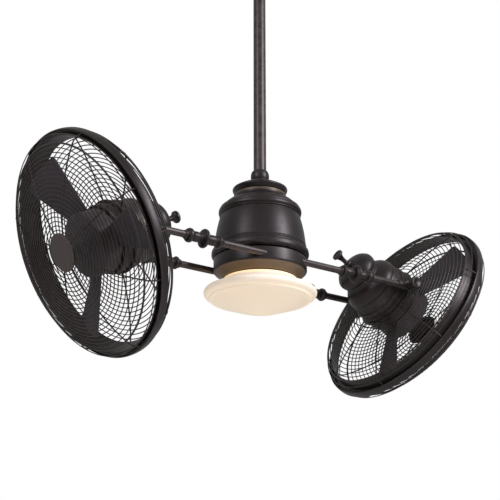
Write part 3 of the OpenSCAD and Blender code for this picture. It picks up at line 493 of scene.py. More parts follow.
def make_finishes(look):
    """Builds the node groups and every material once, from the chosen colours."""
    paint, machined = make_baked_paint_group(), make_machined_group()
    wear = look.edge_wear
    rubbed = rgba(look.rubbed)

    def painted(name, colour, cloud, gloss, metallic=0.55, edge=1.0, coat=0.12):
        return make_material(name, paint, {
            "Paint": rgba(colour), "Rubbed": rubbed, "Cloud depth": cloud,
            "Edge wear": wear * edge, "Gloss low": gloss, "Gloss high": gloss + 0.12,
        }, {"Metallic": metallic, "Coat Weight": coat, "Coat Roughness": 0.35}, 0.12)

    def plain_metal(name, colour, stain, low, high, metallic=1.0, stained=0.4):
        return make_material(name, machined, {
            "Metal": rgba(colour), "Stain": rgba(stain), "Stain share": stained,
            "Gloss low": low, "Gloss high": high}, {"Metallic": metallic}, 0.15)

    FINISH.update({
        "bronze": painted("Rubbed bronze paint", look.bronze, 0.22, 0.34),
        # Painted light: a lighter brown copy of the bronze that stands for light falling on the mount plate, the
        # collar underside and the pivot bolts.
        "bronze_lit": painted("Lighter bronze paint, painted light", look.brown, 0.25, 0.42, 0.4),
        "wire_bronze": painted("Bronze wire enamel", look.wire, 0.2, 0.42, 0.3, 0.6),
        "disc_brown": painted("Brown disc paint", look.disc, 0.15, 0.5, 0.1, 0.7, 0.0),
        "blade": painted("Blade lacquer", look.blade, 0.3, 0.48, 0.15, 1.2, 0.05),
        "zinc_steel": plain_metal("Zinc plated steel", (0.56, 0.56, 0.55), (0.3, 0.29, 0.27),
                                  0.28, 0.45),
        "bearing_steel": plain_metal("Bearing steel", (0.62, 0.63, 0.64), (0.4, 0.4, 0.4),
                                     0.16, 0.3, stained=0.15),
        "cast_aluminium": plain_metal("Cast aluminium", (0.58, 0.58, 0.59),
                                      (0.36, 0.36, 0.37), 0.45, 0.62),
        "gear_brass": plain_metal("Gear brass", (0.72, 0.52, 0.24), (0.4, 0.27, 0.12),
                                  0.25, 0.4),
        "contact_brass": plain_metal("Contact copper", (0.74, 0.42, 0.26),
                                     (0.36, 0.18, 0.1), 0.2, 0.38),
        "motor_core": plain_metal("Varnished windings", (0.46, 0.2, 0.09),
                                  (0.16, 0.08, 0.05), 0.35, 0.5, 0.7, 0.7),
        "black_nylon": plain_metal("Black nylon", (0.03, 0.03, 0.032), (0.06, 0.06, 0.06),
                                   0.4, 0.55, 0.0),
        "porcelain": plain_metal("Glazed porcelain", (0.8, 0.78, 0.72), (0.6, 0.56, 0.48),
                                 0.12, 0.2, 0.0, 0.2),
        "tea_glass": make_opal_glass("Satin opal glass", look.glass, look.glow),
        "lamp_glass": make_opal_glass("Frosted lamp glass", (0.95, 0.92, 0.86), 2.0),
    })


# ---- Property groups ----

def colour_property(name, description, default):
    """A colour as Blender shows it."""
    return FloatVectorProperty(
        name=name, description=description, subtype="COLOR", size=3, min=0.0, max=1.0,
        default=default)


def length_property(name, description, default):
    """A length in metres."""
    return FloatProperty(
        name=name, description=description, unit="LENGTH", subtype="DISTANCE", min=0.0,
        default=default)


def angle_property(name, description, degrees):
    """An angle that is given in degrees."""
    return FloatProperty(
        name=name, description=description, unit="ROTATION", subtype="ANGLE",
        default=math.radians(degrees))


def in_millimetres(group):
    """The values of a property group, with its lengths in millimetres."""
    held = {}
    for key, kind in group.bl_rna.properties.items():
        if key not in ("rna_type", "name"):
            value = getattr(group, key)
            held[key] = value / MM if kind.unit == "LENGTH" else value
    return SimpleNamespace(**held)


class FanFinishes(bpy.types.PropertyGroup):
    """Colours of the painted pieces and of the glass."""
    bronze: colour_property("Bronze", "Paint of the housing, arms and motors",
                            (0.026, 0.019, 0.019))
    # Painted light: this lighter brown stands for light falling on the pieces, not for a second paint colour.
    brown: colour_property("Brown bronze", "Lighter bronze of the mount plate and collar underside, painted light",
                           (0.13, 0.09, 0.055))
    rubbed: colour_property("Rubbed edges", "Metal that shows where the paint is rubbed",
                            (0.17, 0.13, 0.12))
    wire: colour_property("Grille wire", "Enamel of the grilles", (0.021, 0.016, 0.014))
    disc: colour_property("Middle disc", "Paint of the plain disc on each front grille",
                          (0.06, 0.046, 0.04))
    blade: colour_property("Blades", "Lacquer of the blades", (0.05, 0.038, 0.044))
    glass: colour_property("Glass", "Body colour of the dish", (0.92, 0.80, 0.66))
    edge_wear: FloatProperty(name="Edge wear", description="How far the edges are rubbed",
                             subtype="FACTOR", min=0.0, max=1.0, default=0.35)
    glow: FloatProperty(name="Glow", description="Brightness of the lit glass", min=0.0,
                        max=5.0, default=0.32)


class FanCages(bpy.types.PropertyGroup):
    """Wires of the two cages."""
    wire: length_property("Wire diameter", "Diameter of the ring wires", 2.2 * MM)
    pitch: length_property("Wire pitch", "Distance from ring to ring", 8.5 * MM)
    rib: length_property("Rib diameter", "Diameter of the radial wires", 3.0 * MM)
    front_inset: length_property("Front wire inset", "Distance of the front grille's thick "
                                 "outer wire inside the band's face", 24.0 * MM)
    rear_inset: length_property("Rear wire inset", "Distance of the rear grille's thick outer "
                                "wire inside the band's face", 18.0 * MM)
    ribs: IntProperty(name="Ribs", description="Radial wires in each grille", min=4, max=24,
                      default=8)
    front_turn: angle_property("Front turn", "Angle of the first front rib", 12)
    rear_turn: angle_property("Rear turn", "Angle of the first rear rib", 34)


class FanBlades(bpy.types.PropertyGroup):
    """Blades of both heads."""
    count: IntProperty(name="Blades", description="Blades on each head", min=2, max=6,
                       default=3)
    camber: length_property("Camber", "Rise of the blade's middle line", 4.0 * MM)
    thickness: length_property("Thickness", "Thickness of a blade", 2.0 * MM)
    root: length_property("Root width", "Width of a blade at the hub", 46.0 * MM)
    tip: length_property("Tip width", "Width of a blade at its tip", 100.0 * MM)
    plane: length_property("Plane", "Distance in front of the pivot where the blades' middle "
                           "lines would meet", 41.0 * MM)
    pitch: angle_property("Pitch", "Twist of a blade out of its plane", 18)
    rake: angle_property("Rake", "Lean of a blade towards the front grille", 8.7)
    left_turn: angle_property("Left turn", "First blade of the left head", -7)
    right_turn: angle_property("Right turn", "First blade of the right head", 20)


class FanStudio(bpy.types.PropertyGroup):
    """Camera, floor and lights."""
    camera_place: FloatVectorProperty(
        name="Camera place", description="Where the camera stands", subtype="XYZ",
        unit="LENGTH", size=3, default=(-1.4421, -1.9766, -1.6324))
    camera_turn: angle_property("Camera turn", "Camera's heading from +Y towards +X", 35.61)
    camera_pitch: angle_property("Camera pitch", "How far the camera looks up", 19.13)
    lens: FloatProperty(name="Focal length", description="Focal length on a 36 mm sensor",
                        unit="CAMERA", default=87.8)
    floor_drop: length_property("Floor", "Depth of the floor below the ceiling", 2.7)
    key: FloatProperty(name="Key light", description="Power of the large side light",
                       unit="POWER", default=66.0)
    fill: FloatProperty(name="Fill light", description="Power of the second side light",
                        unit="POWER", default=25.0)
    sky: FloatProperty(name="Surround", description="Light that comes from the surround",
                       default=0.42)


# ---- Pieces fixed to the ceiling and on the rod ----

def canopy_shape():
    """Bell: a straight rim at the ceiling, a round shoulder and a flat foot with a lip."""
    box = measure("canopy")
    r, foot, top = box.radius, box.foot, box.top
    hole = 23
    line = chain(
        (hole + 1.5, foot),
        bend((hole + 5, foot), (r - 4, foot + 4), (r, foot * 0.42), 20),
        bead(r, foot * 0.40, foot * 0.36, -0.6, 6),
        (r, top - 1), (r - 0.5, top))
    return lathe(walled(line, 1.5), FINE)


def downrod_shape():
    """Tube with small bevels at both ends."""
    box = measure("downrod")
    r, bore, cut = box.radius, box.radius - 2.5, 0.6
    return lathe([
        (bore, box.foot), (r - cut, box.foot), (r, box.foot + cut), (r, box.top - cut),
        (r - cut, box.top), (bore, box.top)], 96)


def neck_shape():
    """Cover round the yoke: a slimmer foot, a full waist and a long round shoulder."""
    box = measure("neck_cover")
    r, foot, top = box.radius, box.foot, box.top
    rod = measure("downrod").radius + 0.4
    bore = rod + 3.5
    return lathe(chain(
        (r - 1.6, foot),
        bend((r - 1.8, foot + 1.5), (r, foot + 4), (r, top - 12), 8),
        bend((r, top - 12), (r - 0.4, top - 3.6), (rod + 1.4, top), 10)[1:],
        (rod + 0.4, top), (rod, top - 0.5), (rod, top - 4),
        (bore, top - 4.4), (bore, foot)), FINE)


def cap_shape():
    """Top cap: a tapered foot, a full round edge, a fine step and a low domed top."""
    box = measure("top_cap")
    r, foot, top = box.radius, box.foot, box.top
    neck, edge = measure("neck_cover").radius, top - 20
    line = chain(
        bend((r - 8, foot), (r - 4.4, edge - 13), (r - 1.2, edge - 5), 12),
        about(r, edge, bend((-1.2, -5), (0.8, -1.6), (-0.8, 0.6), 10), (-2.4, 0.8)),
        bend((r - 2.8, edge + 1.6), (r - 4.6, edge + 3.6), (neck - 0.5, top), 20))
    return lathe(walled(line, 1.5), FINE)


def plate_shape():
    """Mount plate: a round-edged disc with the stem's bore."""
    box = measure("mount_plate")
    r, foot, top, bore = box.radius, box.foot, box.top, 8
    return lathe(chain(
        (bore, foot), arc((r - 1, foot + 1), 1, -90, 0, 4),
        arc((r - 1, top - 1), 1, 0, 90, 4), (bore, top)), FINE)


def dome_shape():
    """Upper dome: a thin bead, a full ridge and a fine groove at its foot, then a shoulder that
    slopes in to a low top under the mount plate."""
    box = measure("upper_dome")
    r, foot, top = box.radius, box.foot, box.top
    plate = measure("mount_plate").radius
    line = chain(
        about(r, foot, (-10, 0), (-3.8, 0), bead(-2.6, 0.4, 4.2, 1.2, 8),
              bend((-1.8, 4.8), (0, 5.6), (0, 9), 8), bend((0, 9), (0, 12.6), (-1.6, 14.8), 8)[1:],
              (-2.8, 15.4), bend((-2.8, 16.2), (-2.8, 19), (-6.4, 20.4), 8)),
        bend((r - 8.4, foot + 21), (r - 13.7, top - 15.4), (plate + 3.2, top - 5.8), 16),
        about(plate, top, bend((2.2, -5.2), (1, -4.8), (0.8, 0), 6)))
    return lathe(walled(line, 1.5), FINE)


def barrel_shape():
    """Flared barrel with two fine beads above its foot."""
    box = measure("housing_barrel")
    r, foot, height = box.radius, box.foot, box.height
    waist = measure("upper_dome").radius - 4.2
    flare = bend((r, foot), (r - 2.5, foot + height * 0.58), (waist, box.top), 36)
    low, high = foot + 2.4, foot + 7.2
    at = np.interp([foot, low, high], flare[:, 1], flare[:, 0])
    return lathe(walled(chain(
        (at[0], foot), bead(at[1], low - 1.2, low + 1.2, 0.8),
        bead(at[2], high - 1.2, high + 1.2, 0.8),
        flare[flare[:, 1] > high + 1.8]), 1.5), FINE)


def flange_shape():
    """Lower flange: one full bead that turns in below and meets the barrel in a fine step."""
    box = measure("lower_flange")
    r, foot, top = box.radius, box.foot, box.top
    barrel = measure("housing_barrel").radius
    return lathe(chain(
        (barrel - 6, foot), about(
            r, foot, (-6, 0), bend((-4.4, 1.4), (0.6, 2.6), (0, 8.5), 10),
            bend((0, 8.5), (0.2, 14.6), (-2.6, 16.4), 10)[1:]),
        (barrel + 1.6, top - 0.8), (barrel + 0.3, top), (barrel - 6, top)), FINE)


# ---- Collar and arms ----

def collar_shape():
    """Turning collar: a smooth drum with round lower edge and small upper bevel."""
    box = measure("collar_shell")
    r, foot, top = box.radius, box.foot, box.top
    edge, wall = 4, 1.5
    return lathe(chain(
        arc((r - edge, foot + edge), edge, -90, 0, 10),
        (r, top - 1.2), arc((r - 1.2, top - 1.2), 1.2, 15, 90, 5),
        (r - 14, top), (r - 14, top - 2), (r - wall, top - 2),
        (r - wall, foot + edge), (r - edge, foot + wall)), FINE)


def underside_shape():
    """Plate below the collar: a flat ring inside and a shallow cone that runs down from the
    collar's edge to just over the glass, clear of the light pan."""
    box, pan = measure("collar_plate"), measure("light_pan")
    r, foot, top = box.radius, box.foot, box.top
    bore, lip, end = 21, pan.radius + 1.6, pan.foot + 2.6
    return lathe(chain(
        (bore, top - 1.4), (lip, top - 1.4), (lip, end + 0.6),
        (lip + 0.6, end), (lip + 1.4, end + 0.1),
        bend((lip + 2.2, end + 0.5), (r - 8, foot - 3), (r, foot), 14),
        (r, top), (bore, top)), FINE)


def rod_shape(half, r):
    """Solid rod with bevelled ends."""
    cut = 0.8
    return lathe([(0, -half), (r - cut, -half), (r, -half + cut), (r, half - cut),
                  (r - cut, half), (0, half)], 48)


def fitting_line(r, half, disc):
    """Outline of a turned fitting from its inner to its outer end, about its large disc."""
    return chain(
        about(r, -half, (0, 0), (1, 0), bead(1.4, 1, 6, 1, 6), (1.4, 7),
              bend((4.6, 7.6), (8.6, 11), (4.6, 15.4), 10), (2.2, 17)),
        bend((r + 2.2, 18 - half), (r + 4.6, 24 - half), (r + 2.4, -9), 10),
        (r + 1.2, -8), (r + 1.2, -6.6),
        bend((disc - 6, -6), (disc + 1.6, -3), (disc - 1, 2.2), 12),
        bend((disc - 1.8, 3.2), (r + 8, 4), (r + 2.4, 7.4), 8),
        bend((r + 2.2, 9), (r + 4.4, half - 27), (r + 2.6, half - 20), 10),
        about(r, half, (2.2, -18.6), bend((5, -17.4), (9.6, -12), (5.4, -6.4), 10),
              (2, -5.2), (2, -2), (1.2, 0), (0, 0)))


def eye_shape(eye, width, bore, rod, neck):
    """Pivot eye: a round boss bored across, on a socket that grips the rod's end."""
    half, cut = width / 2, 1
    boss = lathe(chain(
        (bore, -half), arc((eye - cut, cut - half), cut, -90, 0, 4),
        arc((eye - cut, half - cut), cut, 0, 90, 4), (bore, half)), 64)
    boss.moved(lambda p: np.stack([p[:, 0], p[:, 2], -p[:, 1]], 1))
    grip, slim, end = rod + 2.5, half - 0.5, eye - 0.5
    socket = lathe(chain(
        (rod, -neck), arc((grip - cut, cut - neck), cut, -90, 0, 4),
        arc((grip - cut, -end - cut), cut, 0, 90, 4), (slim, -end), (slim, -eye * 0.5),
        (rod, -eye * 0.5)), 64)
    socket.moved(lambda p: np.stack([p[:, 2], p[:, 1], -p[:, 0]], 1))
    return boss.join(socket)


# ---- Light ----

def pan_shape():
    """Light pan: a flat dish with a turned-down rim that the glass seats on."""
    box = measure("light_pan")
    r, foot, top = box.radius, box.foot, box.top
    plate, bore, edge = top - 2, 8, 1
    return lathe(chain(
        (bore, plate), (r - 4, plate), (r - 4, foot), (r, foot), (r, top - edge),
        arc((r - edge, top - edge), edge, 0, 90, 4), (bore, top)), FINE)


def dish_outer():
    """Outer face of the glass from its lowest point to the lip of its neck."""
    box = measure("glass_dish")
    rim, low, lip = box.radius, box.foot, box.top
    neck = measure("light_pan").radius + 4
    middle, bowl = lip - 28, rim - 19.5
    return chain(
        bend((0, low), (bowl * 0.36, low), (bowl, middle - 15.8), 32),
        about(bowl, middle, (2.2, -15), arc((6, -13), 2.2, -140, 40, 9), (8, -11.2)),
        bend((bowl + 8.6, middle - 10.8), (rim - 2, middle - 8.6), (rim - 0.6, middle - 3), 10),
        about(rim, middle, bend((-0.6, -3), (0.9, 2.2), (-3.4, 5.2), 8)),
        bend((rim - 3.4, middle + 5.2), (neck + 13, middle + 11), (neck, lip), 16),
    ), (rim, low, lip, neck, middle, bowl)


def dish_shape():
    """Glass dish: a shallow conical bowl with one bead, a full rim and a neck that narrows to
    a turned-in lip. The inner face follows the outer one about a wall away."""
    outer, (rim, low, lip, neck, middle, bowl) = dish_outer()
    wall = 3
    inner = chain(
        (neck - 9.5, lip), (neck - 9.5, lip - wall), (neck - wall, lip - wall),
        bend((neck - wall + 1, lip - wall - 3), (neck + 10, middle + 6),
             (rim - 9, middle + 2), 10),
        bend((rim - 6, middle - 3.5), (rim - 9, middle - 7),
             (rim - 15, middle - 10.4), 6),
        bend((bowl - wall, middle - 13), (bowl * 0.36 - 1.5, low + wall),
             (0, low + wall), 24))
    return lathe(chain(outer, inner), FINE)


def lamp_shape():
    """Lamp: a pear-shaped bulb on a screw cap with a rolled thread."""
    box = measure("lamp")
    foot, top, r = box.foot, box.top, box.radius
    cap_r = 11
    thread = chain(*[bead(cap_r - 1.4, top - 2.2 * (k + 1), top - 2.2 * k,
                          1.2, 6)[::-1] for k in range(4)])[::-1]
    return lathe(chain(
        (0, foot), arc((0, foot + r), r, -90, 22, 18)[1:],
        bend((r * 0.93, foot + r * 1.4), (cap_r, top - 14), (cap_r - 1.6, top - 9.2), 8),
        thread, (7, top), (0, top)), 72)


# ---- Motors ----

def motor_shape(head):
    """Motor barrel: a rear neck with a ring bead, a swelling shoulder and a straight wall."""
    box = head.measure("motor_barrel")
    r, rear, front = box.radius, box.foot, box.top
    cap = head.measure("rear_cap").radius
    neck = cap - 3.5
    line = chain(
        (8, rear), about(neck, rear, (-1.5, 0), (0, 1), (0, 5), bead(0, 5, 9, 1.6, 8), (0, 11)),
        bend((neck + 1.5, rear + 12.5), (r - 3.5, rear + 22), (r - 0.4, rear + 36), 16),
        about(r, rear, (-0.4, 39), bead(-0.9, 39.6, 42.4, 0.9, 6), (-0.4, 43), (0, 46)),
        (r, front))
    inner = chain(
        (r - 3, front), (r - 3, rear + 36),
        about(neck, rear, (6, 23), (-3, 13), (-3, 3)), (8, rear + 3))
    return lathe(chain(line, inner), ROUND)


def rear_cap_shape(head):
    """Rear cap: a domed end with a fine step and a tucked-in front edge."""
    box = head.measure("rear_cap")
    r, rear, front = box.radius, box.foot, box.top
    hole, inside = 5.1, rear + 8
    return lathe(chain(
        about(0, rear, (hole, 0), (10, 0), bend((10, 0), (13, 0), (14, 1.2), 4)),
        bend((14, rear + 1.2), (r - 8, rear + 7), (r - 3.4, rear + 20), 16),
        about(r, rear, (-2.2, 20.4), bend((-2, 21), (0.6, 26), (-0.4, 32), 8)),
        bend((r - 0.4, rear + 32), (r - 1, front - 1), (r - 4, front), 6),
        (r - 7, front), (r - 7, rear + 19), (20, inside), (hole, inside)), ROUND)


def front_flange_shape(head):
    """Front flange: a drum with one groove, and a boss on each side for the trunnions."""
    box = head.measure("front_flange")
    r = head.measure("rear_grille").bore - 0.05
    rear, front = box.foot, box.top
    cut, bore, wall, mouth = 1.5, 8, 3, 62.5
    pin, boss, seat = 4.05, 10, 67
    shape = lathe(chain(
        (bore, front), (r - cut, front), (r, front - cut),
        about(r, rear, (0, 12), (-0.8, 11.4), (-0.8, 10.2), (0, 9.6), (0, cut), (-cut, 0)),
        (mouth, rear), (mouth, rear + 6), (r - wall, rear + 8), (r - wall, front - wall),
        (14, front - wall), (14, front - 11), (bore, front - 11)), ROUND)
    for sign in (-1, 1):
        shape.join(lathe(chain(
            (pin, 0), (boss, 0), bend((boss, 0), (boss, 3.4), (boss - 1, 4), 4), (pin, 4)), 48)
            .moved(lambda p, s=sign: np.stack([p[:, 0], s * (p[:, 2] + seat), -s * p[:, 1]], 1)))
    return shape


def handle_shape(head):
    """Tilt handle: a slender stem that opens into a round-edged trumpet end."""
    box = head.measure("tilt_handle")
    rear, r = box.foot, box.radius
    foot = rear + 36
    return lathe(chain(
        (0, rear + 1.6), bend((r * 0.55, rear + 1.4), (r * 0.7, rear), (r - 2.6, rear), 5),
        bend((r - 2.6, rear), (r, rear), (r, rear + 2.6), 6),
        bend((r - 0.3, rear + 5.5), (5.6, rear + 8), (5, foot - 12), 14),
        bend((5, foot - 10), (5.4, foot - 4), (8.4, foot - 3), 6),
        (9, foot - 2), (9, foot), (5, foot), (5, foot + 9),
        (0, foot + 9)), 64)


def knob_shape(length, r):
    """Lock knob: a collar, a slim stem and a flared head with a shallow dimple."""
    bore, depth = 4.1, 13
    return lathe(chain(
        (bore, 0), (7.4, 0), (8, 0.6), (8, 2.6), (7, 3.4),
        bend((6, 4), (5.6, length * 0.55), (r - 1, length - 7), 14),
        bend((r - 0.5, length - 5.6), (r + 0.4, length), (r - 4, length), 10),
        bend((r - 5, length), (4, length - 1.6), (0, length - 1.8), 6),
        (0, depth), (bore, depth)), 64)


def trunnion_shape(sign, domed, reach, start):
    """Trunnion: a plain stud, or a shouldered bolt with a domed head."""
    r, long = 4, reach - start
    line = [(0, 0), (r, 0), (r, long - 0.8), (r - 0.8, long), (0, long)]
    if domed:
        under = long - 6
        line = chain((0, 0), (r, 0), (r, under), (2 * r, under), (2 * r, under + 2),
                     arc((r, under + 2), r, 0, 90, 8), (0, long))
    return lathe(line, 40).moved(crosswise(sign, start))


# ---- Blades and cages ----

def blade_shape(head, blades, first):
    """Blades on their hub. A blade is a grid of stations along its length and points round its
    section: its half width grows evenly from root to tip, corner * (1 - sqrt(1 - n^2)) less
    near the round corners, with camber * (1 - x^2) across it, turned by the pitch and leant
    forward by the rake; the section closes round both edges and both ends."""
    box = head.measure("blades")
    lean, a = blades.rake, blades.pitch
    tip, hub_r = box.reach / math.cos(lean), 64
    top, foot, corner = box.top, box.foot, 13
    root, bulge = hub_r - 3, 4
    s = np.sin(np.linspace(0, math.pi / 2, 44)) ** 0.9
    along = root + (tip - root) * s
    near = np.clip((along - (tip - corner)) / corner, 0, 1)
    half = blades.root / 2 + (blades.tip - blades.root) / 2 * s
    half = half - corner * (1 - np.sqrt(np.clip(1 - near ** 2, 0, 1)))
    across = np.sin(np.linspace(-0.5, 0.5, 25) * math.pi)
    x = along[:, None] - bulge * across ** 2 * s[:, None] ** 3
    y = half[:, None] * across
    lift = blades.camber * (1 - across ** 2) * np.interp(s, [0, 0.2, 1], [0.3, 1, 0.7])[:, None]
    edge = np.minimum(1.0, (1 - np.abs(across)) * 14 + 0.25) * blades.thickness / 2
    end = np.minimum(1.0, (1 - s) * 40 + 0.25)[:, None]
    upper = np.stack([x, y, lift + edge * end], -1)
    lower = np.stack([x, y, lift - edge * end], -1)[:, ::-1]
    section = np.concatenate([upper, lower], 1)
    pitched = np.array([[1, 0, 0], [0, math.cos(a), math.sin(a)], [0, -math.sin(a), math.cos(a)]])
    leant = np.array([[math.cos(lean), 0, math.sin(lean)], [0, 1, 0],
                      [-math.sin(lean), 0, math.cos(lean)]])
    points = section.reshape(-1, 3) @ pitched @ leant + np.array([0, 0, blades.plane])
    rows, cols = section.shape[:2]
    faces = grid_faces(rows, cols, False, True)[:, ::-1]
    caps = []
    for row in (0, rows - 1):
        i = row * cols + np.arange(cols // 2 - 1)
        j = row * cols + cols - 1 - np.arange(cols // 2 - 1)
        cap = np.stack([i, j, j - 1, i + 1], 1)
        caps.append(cap if row == 0 else cap[:, ::-1])
    one = Shape().add(points, np.concatenate([faces] + caps))
    turns = 90 + math.degrees(first) + 360 * np.arange(blades.count) / blades.count
    shape = one.copied(turns)
    edge = 3
    hub = lathe(chain(
        (0, top), (18, top), (19, top - 0.8), (24, top - 0.8),
        (25, top), arc((hub_r - edge, top - edge), edge, 90, 0, 6),
        (hub_r, foot), (hub_r - 3, foot), (hub_r - 3, top - 3),
        (12, top - 3), (12, top - 18), (0, top - 18)), ROUND)
    return shape.join(hub)


RIM_WIRE = 2.6      # radius of the rim wire in the band
RIM_RISE = 3.6      # from the band's middle to the rim wire
OUTER_WIRE = 2      # radius of the thick outer wire
OUTER_RISE = 30     # from the band's middle to the thick outer wire
THIN_WIRE = 1.1     # radius of the wire between the two
THIN_RISE = 20      # from the band's middle to that wire


def cage_lines(head, cages):
    """Middle lines of a front and a rear rib, from the middle out to the rim."""
    band = head.measure("cage_band")
    disc = head.measure("disc_cap")
    rear, front = head.measure("rear_grille"), head.measure("front_grille")
    rim = front.reach - RIM_WIRE
    middle = (front.foot + rear.top) / 2
    half = cages.rib / 2
    ahead, behind = disc.foot - half, rear.foot + half
    wide, far = band.reach - cages.front_inset, band.reach - cages.rear_inset
    fore, aft = (
        chain(bend(start, knee, (end, middle + out * OUTER_RISE), 24),
              bend((end, middle + out * OUTER_RISE), (rim - 2, middle + out * 26),
                   (rim, middle + out * RIM_RISE), 8)[1:])
        for out, start, knee, end in (
            (1, (disc.reach - 4, ahead), (wide - 60, ahead - 1), wide),
            (-1, (rear.bore + 3, behind), (far - 50, behind + 6), far)))
    return fore, aft, middle, rim, (wide, far)


def grille_shape(cages, line, out, middle, rim, wide, first, turn):
    """Grille: round ribs along a curved line, rings of wire laid on their outside at an even
    pitch, a thick outer wire, a thin one beyond it and the rim wire in the band."""
    shape = wire(line, cages.rib / 2).copied(
        math.degrees(turn) + 360 * np.arange(cages.ribs) / cages.ribs)
    lift = out * (cages.rib + cages.wire) / 2 * 0.82
    for r in np.arange(first, wide - cages.pitch * 0.6, cages.pitch):
        height = np.interp(r, line[:, 0], line[:, 1])
        shape.join(hoop(r, cages.wire / 2, height + lift, ROUND, 6))
    shape.join(hoop(wide, OUTER_WIRE, middle + out * OUTER_RISE, FINE, 10))
    shape.join(hoop(rim - 3, THIN_WIRE, middle + out * THIN_RISE, FINE, 6))
    return shape.join(hoop(rim, RIM_WIRE, middle + out * RIM_RISE, FINE, 10))


def seat_ring(low, high, inner, outer):
    """Flat ring with small bevels."""
    cut = 0.4
    return lathe([(inner, low), (outer - cut, low), (outer, low + cut), (outer, high - cut),
                  (outer - cut, high), (inner, high)], ROUND)


def band_shape(head, middle):
    """Cage hoop: a rolled strip with round edges and a slightly crowned face, and inside it on
    a web a shroud that narrows to the rear, with a rolled lip in front."""
    box = head.measure("cage_band")
    r, back, lip, narrow = box.reach, box.foot, box.top, box.bore
    wall, sheet, half, web = 2.7, 1.6, 8, 0.7
    wide = r - 13
    t = np.linspace(-1, 1, 9)
    face = np.stack([r - 0.5 * t ** 2, middle + (half - 1.4) * t], 1)
    at = np.interp([middle - web, middle + web], [back, lip], [narrow, wide]) + sheet
    return lathe(chain(
        (r - wall, middle - half), (r - 1.6, middle - half),
        (r - 0.9, middle - half + 0.4), face,
        (r - 0.9, middle + half - 0.4), (r - 1.6, middle + half),
        (r - wall, middle + half), (r - wall, middle + web), (at[1], middle + web),
        (wide + sheet, lip - sheet), (wide + 3.1, lip - sheet),
        arc((wide + 2.7, lip - sheet / 2), sheet / 2, -90, 90, 6),
        arc((wide + sheet, lip - sheet), sheet, 90, 180, 5),
        (narrow, back), (narrow + sheet, back), (at[0], middle - web), (r - wall, middle - web)),
        FINE)


def disc_shape(head):
    """Plain middle disc: very slightly crowned, with a round edge and a fine groove."""
    box = head.measure("disc_cap")
    r, low, high = box.radius, box.foot, box.top
    cut = 1.2
    return lathe(chain(
        (0, low), (r - 0.6, low), (r, low + 0.6),
        arc((r - cut, high - cut - 0.3), cut, 0, 90, 5),
        (r - 3.6, high - 0.3), (r - 4.0, high - 0.6),
        (r - 4.6, high - 0.6), (r - 5.0, high - 0.25),
        bend((r - 6, high - 0.2), (r * 0.5, high), (0, high), 6)), ROUND)


# ---- Operators ----

class FanOperator(bpy.types.Operator):
    """Common part of the operators that draw the fan."""
    bl_options = {"REGISTER", "UNDO"}


class FAN_OT_finishes(FanOperator):
    """Mixes the finishes from the chosen colours"""
    bl_idname = "fan.finishes"
    bl_label = "Mix the finishes"

    def execute(self, context):
        make_finishes(context.scene.fan_finishes)
        return {"FINISHED"}


class FAN_OT_ceiling(FanOperator):
    """Draws the canopy"""
    bl_idname = "fan.ceiling"
    bl_label = "Draw the canopy"

    def execute(self, context):
        draw_piece(canopy_shape(), "canopy_skin", "ceiling_mount", "bronze", "canopy")
        return {"FINISHED"}


class FAN_OT_housing(FanOperator):
    """Draws the downrod and the fixed housing below it"""
    bl_idname = "fan.housing"
    bl_label = "Draw the rod and housing"

    def execute(self, context):
        for name, node, shape, finish in (
                ("downrod_tube", "downrod", downrod_shape, "bronze"),
                ("neck_cover_skin", "neck_cover", neck_shape, "bronze"),
                ("top_cap_skin", "top_cap", cap_shape, "bronze"),
                # The mount plate takes the lighter bronze copy, which is painted light.
                ("mount_plate_disc", "mount_plate", plate_shape, "bronze_lit"),
                ("upper_dome_skin", "upper_dome", dome_shape, "bronze"),
                ("barrel_skin", "housing_barrel", barrel_shape, "bronze"),
                ("lower_flange_ring", "lower_flange", flange_shape, "bronze")):
            draw_piece(shape(), name, "hanging_body", finish, node)
        return {"FINISHED"}


class FAN_OT_collar(FanOperator):
    """Draws the turning collar and its underside"""
    bl_idname = "fan.collar"
    bl_label = "Draw the collar"

    def execute(self, context):
        draw_piece(collar_shape(), "collar_drum", "turning_arms", "bronze", "collar_shell")
        # The underside takes the lighter bronze copy: painted light for the glow of the dish on it.
        draw_piece(underside_shape(), "collar_underside", "turning_arms", "bronze_lit",
                   "collar_plate")
        return {"FINISHED"}


class FAN_OT_arms(FanOperator):
    """Draws the arm rods, their turned fittings and the pivot eyes"""
    bl_idname = "fan.arms"
    bl_label = "Draw the arms"

    def execute(self, context):
        rods, fittings, eyes = (measure(n) for n in ("arm_rods", "rod_fittings", "rod_eyes"))
        r = rods.height / 2
        spacing = rods.radius - r
        pivot = abs(HEADS[0].pivot[0])
        eye = eyes.height / 2
        width = 2 * (spacing - HEADS[0].measure("front_flange").radius - 0.5)
        half, pin, socket = 46, 4.1, 27
        centre = fittings.high[0] - half
        disc = fittings.radius - spacing
        rod_pair, turned, ends = Shape(), Shape(), Shape()
        for y in (-spacing, spacing):
            rod_pair.join(rod_shape(rods.high[0], r).moved(lying(0, y)))
            for way in (-1, 1):
                line = fitting_line(r, half, disc) * (1, way)
                turned.join(lathe(line, 64).moved(lying(way * centre, y)))
                end = eye_shape(eye, width, pin, r, socket)
                end.moved(lambda p, w=way, y=y: np.stack(
                    [w * (pivot + p[:, 0]), y + w * p[:, 1], ARM_Z + p[:, 2]], 1))
                ends.join(end)
        for shape, name, node in ((rod_pair, "arm_rod_pair", "arm_rods"),
                                  (turned, "turned_fittings", "rod_fittings"),
                                  (ends, "pivot_eyes", "rod_eyes")):
            draw_piece(shape, name, "turning_arms", "bronze", node)
        return {"FINISHED"}


class FAN_OT_light(FanOperator):
    """Draws the light pan, the lamp and the glass dish"""
    bl_idname = "fan.light"
    bl_label = "Draw the light"

    def execute(self, context):
        draw_piece(pan_shape(), "light_pan_dish", "hanging_body", "bronze", "light_pan")
        draw_piece(lamp_shape(), "lamp_bulb", "hanging_body", "lamp_glass", "lamp")
        draw_piece(dish_shape(), "glass_bowl", "hanging_body", "tea_glass", "glass_dish", 50)
        return {"FINISHED"}


